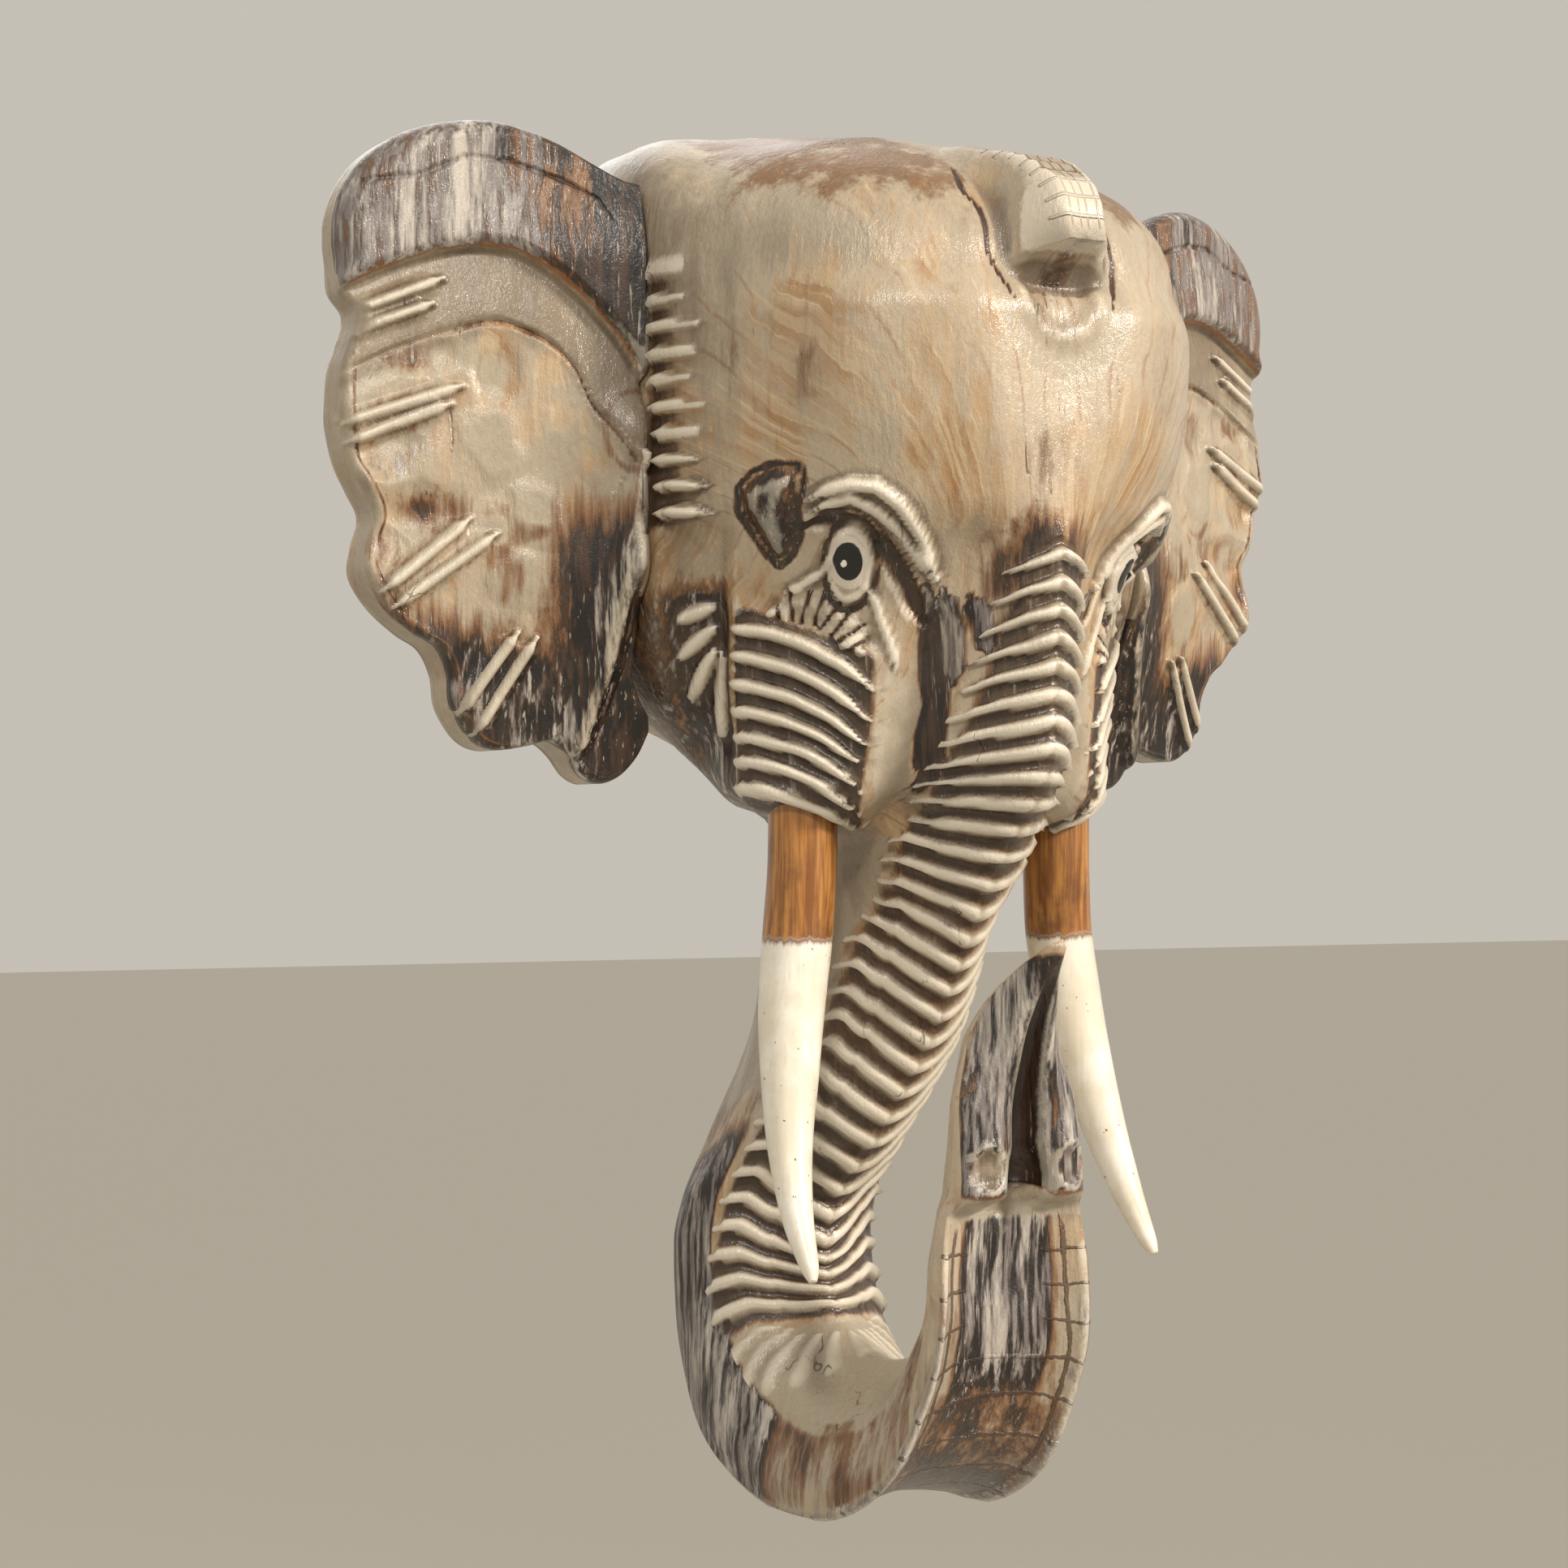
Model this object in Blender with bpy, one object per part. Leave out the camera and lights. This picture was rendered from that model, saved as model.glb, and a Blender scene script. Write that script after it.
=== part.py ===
"""Carved elephant head wall hanging. Metres, +Z up, -Y towards the viewer, back faces on the plane y = 0.

The tables are in millimetres. Levels are drops below the crown, and the crown stands CROWN above
the origin, which lies on the flat back at the hanging point.
"""

import bpy
import numpy as np

# Driving sizes, millimetres
CROWN = 142.0
DOME = 72.0
CROWN_SWELL = 4.0
DOME_SPREAD = (4.0, 4.0, 3.0, 2.4, 2.4)
FOLD_START = 457.0
PIVOT_DEPTH = 92.0
FOLD_MEAN = 66.0
TIP_RISE = 131.0
JOINT_HALF = 117.0
FIT = 0.3
FLUTE_PITCH = 10.5
FLUTE_FIRST = 181.0
FLUTES = 31
FLUTE_HEIGHT = 2.6
CHEEK_FLUTES = (2, 8)
CHEEK_RAISE = 3.5
TUSK_SEAT = 258.0
TUSK_MOUTH = 304.0
EAR_SPAN = 112.7
EAR_FACE_IN = 78.0
EAR_FACE_OUT = 33.0
EAR_BACK_IN = 34.0
EAR_BACK_OUT = 14.0

# Path marks: distance travelled from the crown down the back, round the fold and up to the tip
FOLD_END = FOLD_START + np.pi * FOLD_MEAN
PATH_END = FOLD_END + TIP_RISE

# Sections along the path. Columns: path, sideways shift, depth of the back centre, then half-width and
# depth of back corner, side, cheek, face and ridge flank, the depth of the front ridge, and how far
# the two nostril lobes swell
SECTIONS = np.array([
    [72, 0, 0, JOINT_HALF, 0, JOINT_HALF, 84, 101, 119, 75, 163, 38, 186, 184, 0],
    [92, 0, 0, JOINT_HALF, 0, JOINT_HALF, 84, 102, 121, 79, 169, 38, 194, 192, 0],
    [132, 0, 0, JOINT_HALF, 0, JOINT_HALF, 82, 102, 119, 76, 166, 36, 192, 194, 0],
    [160, 0, 0, JOINT_HALF, 0, JOINT_HALF, 81, 101, 113, 71, 158, 34, 184, 194, 0],
    [180, 0, 0, JOINT_HALF, 0, JOINT_HALF, 77, 97, 104, 66, 146, 30, 172, 194, 0],
    [205, 0, 0, JOINT_HALF, 0, 115.5, 70, 92, 94, 62, 134, 29, 165, 192, 0],
    [232, 0, 0, 98, 0, 104, 58, 90, 90, 60, 130, 29, 162, 189, 0],
    [252, 0, 0, 57, 0, 85, 45, 86, 88, 60, 127, 29, 158, 187, 0],
    [268, 0, 0, 24, 0, 64, 40, 83, 87, 61, 125, 29, 150, 181, 0],
    [275, 0, 0, 18, 0, 54, 38, 76, 85, 58, 121, 29, 145, 175, 0],
    [282, 0, 0, 17, 0, 36, 36, 48, 77, 45, 108, 29, 136, 167, 0],
    [292, 0, 0, 17, 0, 31, 34, 38, 72, 36, 100, 29, 126, 158, 0],
    [320, 0, 0, 18, 0, 31, 30, 37, 62, 34, 88, 21, 112, 135, 0],
    [362, -1, 0, 23, 0, 34, 24, 37, 52, 34, 72, 20, 92, 108, 0],
    [414, -12, 0, 35, 0, 38, 14, 39, 26, 36, 40, 20, 60, 75, 0],
    [440, -17, 0, 42, 0, 44, 9, 42, 18, 36, 28, 19, 43, 55, 0],
    [457, -19, 0, 44, 0, 45, 8, 42, 17, 36, 27, 19, 41, 52, 0],
    [491, -18, -9, 43, -10, 44, 2, 42, 16, 35, 28, 19, 40, 50, 0],
    [512, -17, -12, 43, -14, 44, -1, 41, 15, 35, 28, 19, 40, 50, 0],
    [536, -14, -8, 42, -12, 43, 0, 39, 15, 34, 28, 18, 40, 50, 0],
    [561, -12, -2, 40, -9, 41, 3, 38, 17, 33, 28, 18, 41, 51, 0],
    [593, -7, 6, 38, -1, 38, 9, 35, 20, 30, 31, 16, 43, 52, 0],
    [620, -3, 19, 36, 11, 36, 20, 33, 30, 27, 40, 14, 48, 53, 0],
    [640, -1, 26, 35, 16, 35, 25, 31, 34, 25, 43, 13, 50, 54, 0],
    [664, 0, 32, 34, 21, 34, 30, 30, 37, 24, 46, 12, 52, 54, 0],
    [689, 0, 30, 31, 22, 31, 28, 28, 34, 22, 41, 11, 46, 47, 0],
    [698, 0, 24, 28, 16, 28, 24, 26, 32, 21, 39, 11, 43, 44, 12],
    [729, 0, 22, 27, 20, 27, 24, 25, 30, 20, 36, 10, 39, 40, 10],
    [752, 0, 14, 21, 24, 21, 27, 19.5, 31, 15, 34.5, 8, 36.5, 37, 6],
    [769, 0, 3, 15.8, 19, 15.8, 20.5, 14.5, 22.5, 11, 24.5, 6, 25.5, 26, 1],
    [784, 0, -5, 8.6, 6, 8.6, 7, 7.8, 8, 6, 9, 3, 9.7, 10, 0],
    [792, 0, -9.5, 4, -6, 4, -5.2, 3.6, -4.4, 3, -3.8, 1.5, -3.5, -3.4, 0],
])

# Rise of a row above its height at the ridge: path, then at the cheek, at the face and at the ridge flank
WARP = np.array([
    [0, 0, 0, 0],
    [125, 0, 0, 0],
    [176, 0, -20, -13],
    [202, 0, -27, -13],
    [215, 0, -29, -11],
    [237, 0, -26, -9],
    [257, 0, -20, -5],
    [268, 0, -14, 0],
    [286, 1, 0, 6],
    [325, 8, 17, 14],
    [352, 14, 22, 15],
    [400, 16, 21, 13],
    [450, 14, 18, 11],
    [500, 8, 12, 8],
    [530, 3, 5, 3],
    [575, 0, 0, 0],
    [800, 0, 0, 0],
])


def smooth(knots, values, x):
    """Monotone cubic through the knots, so that no section overshoots its neighbours."""
    x = np.asarray(x, float)
    step = np.diff(knots)
    slope = np.diff(values) / step
    tangent = np.zeros(len(knots))
    same = slope[:-1] * slope[1:] > 0
    mean = 2 * slope[:-1] * slope[1:] / np.where(same, slope[:-1] + slope[1:], 1.0)
    tangent[1:-1] = np.where(same, mean, 0.0)
    tangent[0] = slope[0]
    tangent[-1] = slope[-1]
    i = np.clip(np.searchsorted(knots, x, side="right") - 1, 0, len(knots) - 2)
    t = np.clip((x - knots[i]) / step[i], 0.0, 1.0)
    h00 = (1 + 2 * t) * (1 - t) ** 2
    h10 = t * (1 - t) ** 2
    h01 = t * t * (3 - 2 * t)
    h11 = t * t * (t - 1)
    return (h00 * values[i] + h10 * step[i] * tangent[i]
            + h01 * values[i + 1] + h11 * step[i] * tangent[i + 1])


def ramp(x, low, high):
    """0 below low, 1 above high, with an S between them."""
    t = np.clip((x - low) / (high - low), 0.0, 1.0)
    return t * t * (3 - 2 * t)


def bump(x, centre, half):
    """1 at the centre, 0 beyond the half width, rounded."""
    t = np.clip(np.abs(x - centre) / half, 0.0, 1.0)
    return (1 - t * t) ** 2


def chevron(s, w):
    """Height that a row gains over its own height at the front ridge, so that rows run along the flutes."""
    a = np.abs(w)
    at_cheek = smooth(WARP[:, 0], WARP[:, 1], s)
    at_face = smooth(WARP[:, 0], WARP[:, 2], s)
    at_flank = smooth(WARP[:, 0], WARP[:, 3], s)
    rise = np.interp(a, [1.2, 3.0], [0.0, 1.0]) * at_cheek
    rise = np.where(a > 3.0, at_cheek + (at_face - at_cheek) * (a - 3.0) / 1.35, rise)
    rise = np.where(a > 4.35, at_face + (at_flank - at_face) * ramp(a, 4.35, 5.0), rise)
    return np.where(a > 5.0, at_flank * (6.0 - a) ** 1.2, rise)


def section(s, w):
    """Sideways place and depth on the plain section at path mark s; w runs from -6 to 6 round the front."""
    a = np.abs(w)
    row = [smooth(SECTIONS[:, 0], SECTIONS[:, c], np.maximum(s, DOME)) for c in range(1, 15)]
    up = np.clip(1 - s / DOME, 0.0, 1.0)
    deep = np.sqrt(1 - up ** 2)
    wide = [(1 - up ** e) ** (1 / e) for e in DOME_SPREAD]
    us = [np.zeros_like(a)] + [row[c] * f for c, f in zip((2, 4, 6, 8, 10), wide)] + [np.zeros_like(a)]
    qs = [row[c] * deep for c in (1, 3, 5, 7, 9, 11, 12)]
    us = [2 * us[1] - us[2]] + us[1:] + [-us[5]]
    qs = [2 * qs[1] - qs[2]] + qs[1:] + [qs[5]]
    u = us[1] * a
    q = row[1] * deep + (row[3] - row[1]) * deep * a * a - row[13] * 4 * a * (1 - a)
    for k in range(1, 6):
        t = np.clip(a - k, 0.0, 1.0)
        b0 = -0.5 * t ** 3 + t ** 2 - 0.5 * t
        b1 = 1.5 * t ** 3 - 2.5 * t ** 2 + 1
        b2 = -1.5 * t ** 3 + 2 * t ** 2 + 0.5 * t
        b3 = 0.5 * t ** 3 - 0.5 * t ** 2
        here = (a >= k) & ((a < k + 1) | (k == 5))
        cu = b0 * us[k - 1] + b1 * us[k] + b2 * us[k + 1] + b3 * us[k + 2]
        cq = b0 * qs[k - 1] + b1 * qs[k] + b2 * qs[k + 1] + b3 * qs[k + 2]
        u = np.where(here, cu, u)
        q = np.where(here, cq, q)
    return np.minimum(u, JOINT_HALF) * np.sign(w), q, row[0]


def place(s, u, q):
    """Point for path mark s: straight down the back, round the fold, then straight up to the tip."""
    turn = np.clip((s - FOLD_START) / FOLD_MEAN, 0.0, np.pi)
    r = PIVOT_DEPTH - q
    depth = np.maximum(PIVOT_DEPTH - r * np.cos(turn), 0.0)
    height = CROWN - FOLD_START - r * np.sin(turn)
    height = height + np.maximum(FOLD_START - s, 0.0) + np.maximum(s - FOLD_END, 0.0)
    height = height + CROWN_SWELL * np.clip(1 - s / DOME, 0.0, 1.0) ** 2
    return np.stack([u, -depth, height], axis=-1)


def plain(s, w):
    u, q, shift = section(s, w)
    return place(s, u + shift, q)


def lay_stroke(v, drop, points, half):
    """Closeness to a polyline in the (v, drop) plane: 1 on it, 0 beyond the half width; thins at both ends."""
    pts = np.asarray(points, float)
    best = np.full(np.shape(v), 1e9)
    along = np.zeros(np.shape(v))
    legs = np.hypot(*np.diff(pts, axis=0).T)
    marks = np.concatenate([[0.0], np.cumsum(legs)]) / legs.sum()
    for i in range(len(legs)):
        (v0, d0), (v1, d1) = pts[i], pts[i + 1]
        t = np.clip(((v - v0) * (v1 - v0) + (drop - d0) * (d1 - d0)) / legs[i] ** 2, 0.0, 1.0)
        d = np.hypot(v - v0 - t * (v1 - v0), drop - d0 - t * (d1 - d0))
        along = np.where(d < best, marks[i] + t * (marks[i + 1] - marks[i]), along)
        best = np.minimum(best, d)
    thin = np.clip(np.minimum(along, 1 - along) * 8, 0.35, 1.0)
    return np.clip(1 - (best / (half * thin)) ** 2, 0.0, 1.0)


FLUTE_ENDS = np.array([
    [170, 200, 230, 262, 300, 325, 352, 374, 434, 467, 489, 510],
    [5.72, 5.45, 5.25, 5.05, 5.0, 4.8, 4.4, 4.2, 4.1, 4.0, 3.5, 3.4],
], float)
BROW_OUTER = [(1.4, 160.6), (6.6, 158), (16.7, 155.9), (26.5, 156.9), (35.9, 163.7), (43.9, 174.9), (50.2, 190.2)]
BROW_INNER = [(1.6, 165.5), (6.9, 162.9), (17, 160.8), (26.5, 165.7), (35.1, 172.5), (40.9, 179.7), (48.2, 190.4)]


def carve(s, w, row):
    """Relief in millimetres along the normal: crest, brow and eye, cheek block, flutes, pits."""
    u, q, _ = section(s, w)
    a = np.abs(w)
    side = np.abs(u)
    v = 0.5 * q - 0.866 * side
    head = s < 300

    # Crest on the centre line: steep edges, a ledge below it and a collar under the ledge
    lift = np.interp(s, [12, 22, 32, 44, 56, 68, 73, 78, 84], [0, 3, 9, 19, 26, 28, 18, 0, 0])
    crest = lift * (1 - ramp(side, 11, 25)) * (a > 3)
    crest = crest - 4 * bump(s, 79, 7) * (1 - ramp(side, 10, 20)) * (a > 3)
    crest = crest + 5 * bump(s, 91, 9) * (1 - ramp(side, 12, 24)) * (a > 3)

    # Brow ridges over the eye, the ball of the eye in its hollow and the knot behind it
    on_face = head & (a > 2.2)
    brow = 3.2 * lay_stroke(v, s, BROW_OUTER, 4.0) + 2.6 * lay_stroke(v, s, BROW_INNER, 3.4)
    hollow = -5 * bump(np.hypot((v - 20) / 1.25, s - 180), 0, 24)
    ball = 7 * bump(np.hypot(v - 17, (s - 184.5) / 1.3), 0, 15)
    knot = 6 * bump(np.hypot(v + 12, (s - 164) / 1.35), 0, 13)
    temple = -5 * ramp(a, 2.15, 2.5) * (1 - ramp(a, 2.95, 3.15)) * ramp(s, 160, 182) * (1 - ramp(s, 250, 268))
    eye = np.where(on_face, brow + hollow + ball + knot, 0.0) + temple

    # Cheek block with its flutes, and the dark trough between it and the root of the trunk
    block = ramp(a, 3.05, 3.2) * (1 - ramp(a, 4.25, 4.5)) * ramp(row, 192, 198) * (1 - ramp(row, 272, 280))
    trough = -4.5 * bump(a, 4.72, 0.32) * ramp(row, 178, 200) * (1 - ramp(row, 270, 292))
    phase = (row - FLUTE_FIRST) / FLUTE_PITCH
    wave = np.clip(np.cos(2 * np.pi * phase), 0.0, 1.0) ** 0.8
    few = (phase > CHEEK_FLUTES[0] - 0.5) & (phase < CHEEK_FLUTES[1] + 0.5)
    cheek = block * CHEEK_RAISE + wave * 2.2 * few * ramp(a, 3.1, 3.3) * (1 - ramp(a, 4.1, 4.35))

    # Flutes of the trunk, from the root to the inside of the fold
    end = smooth(FLUTE_ENDS[0], FLUTE_ENDS[1], row)
    many = (phase > -0.5) & (phase < FLUTES - 0.5)
    trunk = wave * FLUTE_HEIGHT * many * ramp(a, end, end + 0.35)
    return crest + eye + trough + cheek + trunk


def skin(row, w):
    """Carved surface of the head and trunk for grid row and place round the section."""
    s = row - chevron(row, w)
    base = plain(s, w)
    ds = plain(s + 0.4, w) - plain(np.maximum(s - 0.4, 0.01), w)
    dw = plain(s, w + 0.01) - plain(s, w - 0.01)
    normal = np.cross(dw, ds)
    normal = normal / np.maximum(np.linalg.norm(normal, axis=-1, keepdims=True), 1e-9)
    depth = carve(s, w, row)
    back = ramp(np.abs(w), 1.0, 1.25)
    return base + normal * (depth * back)[..., None]


# Ear outline from the top of the joint round to its foot, and the joint line beside it. Columns: distance out
# from the plane of the joint, and drop below the crown
EAR_OUTLINE = np.array([
    [9.7, 29], [20.7, 20], [32.7, 13], [48.7, 8], [61.7, 8], [75.7, 11], [86.7, 16], [96.7, 24],
    [103.7, 34], [107.7, 45], [108.7, 55], [107.7, 65], [106.7, 76], [101.2, 85], [103.7, 96],
    [106.7, 106], [107.7, 118], [107.7, 128], [104.7, 142], [99.7, 153], [95.2, 163], [97.7, 174],
    [98.7, 186], [91.7, 198], [80.7, 208], [71.7, 214], [66.7, 224], [64.7, 237], [57.2, 249],
    [47.7, 253.5], [35.7, 252], [26.7, 250], [19.7, 255], [13.7, 263], [6.7, 266.5], [-0.8, 264],
    [-6.8, 257], [-10.3, 248],
])
EAR_JOINT = np.array([
    [0, 33], [0, 224], [-4.8, 234], [-8.8, 240],
])
EAR_JOINT_MARKS = np.array([0.0, 0.86, 0.94, 1.0])
GROOVE_TOP = np.array([
    [-17.3, 132], [-1.3, 110], [7.7, 94], [17.7, 81], [27.7, 71], [36.7, 64], [46.7, 59],
    [58.7, 58], [70.7, 60], [90.7, 67], [108.7, 76], [117.7, 80],
])
GROOVE_LOW = np.array([
    [-17.3, 172], [0.7, 144], [12.7, 126], [18.7, 117], [23.7, 105], [32.7, 95], [41.7, 90],
    [51.7, 87], [74.7, 93], [90.7, 99], [102.7, 106], [117.7, 114],
])
EAR_FOLD = [(0.7, 139), (2.7, 165), (7.7, 195), (10.7, 221), (17.7, 252), (22.7, 262)]
EAR_RIBS = [
    [(107.7, 87), (70.7, 71)],
    [(106.7, 94), (74.7, 81)],
    [(108.7, 129), (64.7, 113)],
    [(106.7, 136), (68.7, 120)],
    [(93.7, 193), (61.7, 164)],
    [(88.7, 199), (52.7, 170)],
    [(63.7, 240), (43.7, 208)],
    [(57.7, 248), (36.7, 210)],
]
TUSK_AXIS = np.array([
    [60.5, 103.5, 0], [60.5, 103.5, 34], [62, 102.5, 64], [66, 104.5, 94], [70.5, 110.5, 124],
    [75, 119, 152], [78, 130, 176], [79.5, 142, 194], [80, 144.5, 197.5],
])
TUSK_RADII = np.array([13.8, 13.8, 13.8, 13.3, 11.3, 8.6, 6.1, 3.2, 1.6])


def curve(points, marks, x):
    """Smooth curve through points at the given marks."""
    return np.stack([smooth(marks, points[:, c], x) for c in range(points.shape[1])], axis=-1)


def ear_mark(points):
    legs = np.hypot(*np.diff(points, axis=0).T)
    return np.concatenate([[0.0], np.cumsum(legs)]) / legs.sum()


def round_curve(points, marks, x):
    """Catmull-Rom curve through points, for outlines that turn back on themselves."""
    ghosted = np.vstack([2 * points[0] - points[1], points, 2 * points[-1] - points[-2]])
    i = np.clip(np.searchsorted(marks, x, side="right") - 1, 0, len(marks) - 2)
    t = ((x - marks[i]) / (marks[i + 1] - marks[i]))[..., None]
    p0, p1, p2, p3 = (ghosted[i + k] for k in range(4))
    return 0.5 * (2 * p1 + (p2 - p0) * t + (2 * p0 - 5 * p1 + 4 * p2 - p3) * t ** 2
                  + (3 * p1 - p0 - 3 * p2 + p3) * t ** 3)


def ear_plan(a, b):
    """Distance out and drop on the ear at mark a of its outline, b from the joint line out to the edge."""
    rim = round_curve(EAR_OUTLINE, ear_mark(EAR_OUTLINE), a)
    joint = np.stack([np.interp(a, EAR_JOINT_MARKS, EAR_JOINT[:, c]) for c in (0, 1)], axis=-1)
    spot = joint + (rim - joint) * b[..., None]
    return spot[..., 0], spot[..., 1], np.hypot(*(rim - joint).transpose(2, 0, 1)) * (1 - b)


def ear_depths(out, drop, edge):
    """Front and back depth of the ear plank: rim band, cavetto under it, a ribbed and lobed field below."""
    t = np.clip(1 - out / EAR_SPAN, 0.0, 1.15)
    foot = 1 - 0.5 * ramp(drop, 172, 277)
    crown = 0.78 + 0.22 * ramp(drop, 17, 67)
    front = EAR_FACE_OUT + (EAR_FACE_IN - EAR_FACE_OUT) * t ** 1.2 * foot * crown
    back = EAR_BACK_OUT + (EAR_BACK_IN - EAR_BACK_OUT) * np.clip(t, 0.0, 1.0)
    top = smooth(GROOVE_TOP[:, 0], GROOVE_TOP[:, 1], out)
    low = smooth(GROOVE_LOW[:, 0], GROOVE_LOW[:, 1], out)
    part_way = np.clip((low - drop) / (low - top), 0.0, 1.0)
    band = 4.0 * ramp(drop, top + 1.5, top - 4)
    cavetto = -5.0 * part_way ** 1.3 * (1 - ramp(drop, top + 3, top - 1))
    field = ramp(drop, low, low + 14)
    ribs = sum(lay_stroke(out, drop, rib, 5.0) for rib in EAR_RIBS)
    fold = 4.0 * lay_stroke(out, drop, EAR_FOLD, 8.0)
    lobes = 5.0 * bump(np.hypot(out - 3, (drop - 129) / 1.35), 0, 15)
    lobes = lobes + 5.0 * bump(np.hypot(out - 3, (drop - 182) / 1.5), 0, 12)
    wave = 1.6 * np.sin(drop / 5.6 - out / 14) * ramp(out, 43, 98) * field
    soft = 4.0 + 8.0 * ramp(drop, top + 2, top - 10)
    fall = soft * (1 - np.sqrt(1 - np.clip(1 - edge / soft, 0.0, 1.0) ** 2))
    return front + band + cavetto + wave + 2.0 * ribs + fold + lobes - fall, back


def ear_skin(a, face_marks, back_marks, hand):
    """Closed rings round the ear plank, one for each mark a: out over the face and home over the back."""
    b = np.concatenate([face_marks, back_marks])
    aa, bb = np.meshgrid(a, b, indexing="ij")
    out, drop, edge = ear_plan(aa, bb)
    front, back = ear_depths(out, drop, edge)
    is_back = np.arange(len(b)) >= len(face_marks)
    depth = np.where(is_back, back, front)
    return np.stack([hand * (JOINT_HALF + FIT + out), -depth, CROWN - drop], axis=-1)


def tusk_skin(marks, sides, hand):
    """Rings round the tusk axis, square to it."""
    knots = np.linspace(0, 1, len(TUSK_AXIS))
    centre = curve(TUSK_AXIS, knots, marks)
    ahead = curve(TUSK_AXIS, knots, np.minimum(marks + 0.01, 1)) - curve(TUSK_AXIS, knots, np.maximum(marks - 0.01, 0))
    ahead = ahead / np.linalg.norm(ahead, axis=-1, keepdims=True)
    across = np.cross(ahead, [0.0, 1.0, 0.0])
    across = across / np.linalg.norm(across, axis=-1, keepdims=True)
    over = np.cross(across, ahead)
    radius = smooth(knots, TUSK_RADII, marks)[:, None, None]
    turn = np.linspace(0, 2 * np.pi, sides, endpoint=False)[None, :, None]
    ring = centre[:, None] + radius * (np.cos(turn) * across[:, None] + np.sin(turn) * over[:, None])
    return np.stack([hand * ring[..., 0], -ring[..., 1], CROWN - TUSK_SEAT - ring[..., 2]], axis=-1)


def ring_mesh(name, rings, first, last, flip):
    """Closed mesh from rings of equal count, with a fan at each end to the points first and last."""
    rows, count = rings.shape[:2]
    points = np.concatenate([rings.reshape(-1, 3), [first, last]]) * 0.001
    i, j = np.meshgrid(np.arange(rows - 1), np.arange(count), indexing="ij")
    k = (j + 1) % count
    quads = np.stack([i * count + j, (i + 1) * count + j, (i + 1) * count + k, i * count + k], axis=-1)
    quads = quads.reshape(-1, 4)
    near = np.linalg.norm(points[quads[:, 0]] - points[quads[:, 2]], axis=1)
    cross = np.linalg.norm(points[quads[:, 1]] - points[quads[:, 3]], axis=1)
    cut = (near <= cross)[:, None]
    one = np.where(cut, quads[:, [0, 1, 2]], quads[:, [0, 1, 3]])
    two = np.where(cut, quads[:, [0, 2, 3]], quads[:, [1, 2, 3]])
    j = np.arange(count)
    k = (j + 1) % count
    start = np.stack([np.full(count, rows * count), j, k], axis=-1)
    end = (rows - 1) * count
    finish = np.stack([np.full(count, rows * count + 1), end + k, end + j], axis=-1)
    faces = np.concatenate([one, two, start, finish])
    if flip:
        faces = faces[:, ::-1]
    mesh = bpy.data.meshes.new(name)
    mesh.from_pydata(points.tolist(), [], faces.tolist())
    mesh.update()
    mesh.shade_smooth()
    obj = bpy.data.objects.new(name, mesh)
    bpy.context.scene.collection.objects.link(obj)
    return obj


def paint(obj, name, colour, roughness):
    """Gives the object its own plain material."""
    material = bpy.data.materials.new(name)
    material.use_nodes = True
    shader = next(n for n in material.node_tree.nodes if n.type == "BSDF_PRINCIPLED")
    shader.inputs["Base Color"].default_value = (*colour, 1.0)
    shader.inputs["Roughness"].default_value = roughness
    material.diffuse_color = (*colour, 1.0)
    obj.data.materials.append(material)


def cut(obj, cutter):
    """Takes the cutter from the object."""
    cutter.hide_render = True
    cutter.display_type = "WIRE"
    modifier = obj.modifiers.new("cut_" + cutter.name, "BOOLEAN")
    modifier.operation = "DIFFERENCE"
    modifier.solver = "EXACT"
    modifier.object = cutter


def socket(name, hand):
    """Bore in the underside of the cheek block for the root of a tusk."""
    reach = TUSK_RADII[0] + FIT
    sides = 24
    turn = np.linspace(0, 2 * np.pi, sides, endpoint=False)
    reach = reach / np.cos(np.pi / sides)
    place_u = hand * TUSK_AXIS[0, 0]
    place_d = TUSK_AXIS[0, 1]
    rings = []
    roof = CROWN - TUSK_SEAT + FIT
    mouth = CROWN - TUSK_MOUTH
    for level in (roof, mouth):
        rings.append(np.stack([place_u + reach * np.cos(turn), -place_d + reach * np.sin(turn),
                               np.full(sides, level)], axis=-1))
    return ring_mesh(name, np.array(rings), (place_u, -place_d, roof), (place_u, -place_d, mouth), False)


def grid_marks():
    """Rows down the path, two to each flute, and places round the section."""
    crown = [1, 5, 11, 20, 31, 42, 52, 62, 68, 73, 78, 86, 100, 116, 131, 143, 153, 162, 169, 175]
    step = FLUTE_PITCH / 2
    flutes = FLUTE_FIRST + step * np.arange(2 * FLUTES)
    fold = [513, 528, 543, 558, 573, 588, 603, 618, 634, 650, 668, 688, 693, 698, 708, 720, 735, 750]
    tip = [760, 770, 779, 786, 791]
    rows = np.concatenate([crown, flutes, fold, tip])
    half = np.array([0.5, 1, 1.5, 2, 2.4, 2.8, 3.1, 3.25, 3.65, 4.0, 4.3, 4.5, 4.75, 5.05, 5.35, 5.7])
    places = np.concatenate([-half[::-1], [0], half, [6]])
    return rows, places


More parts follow.
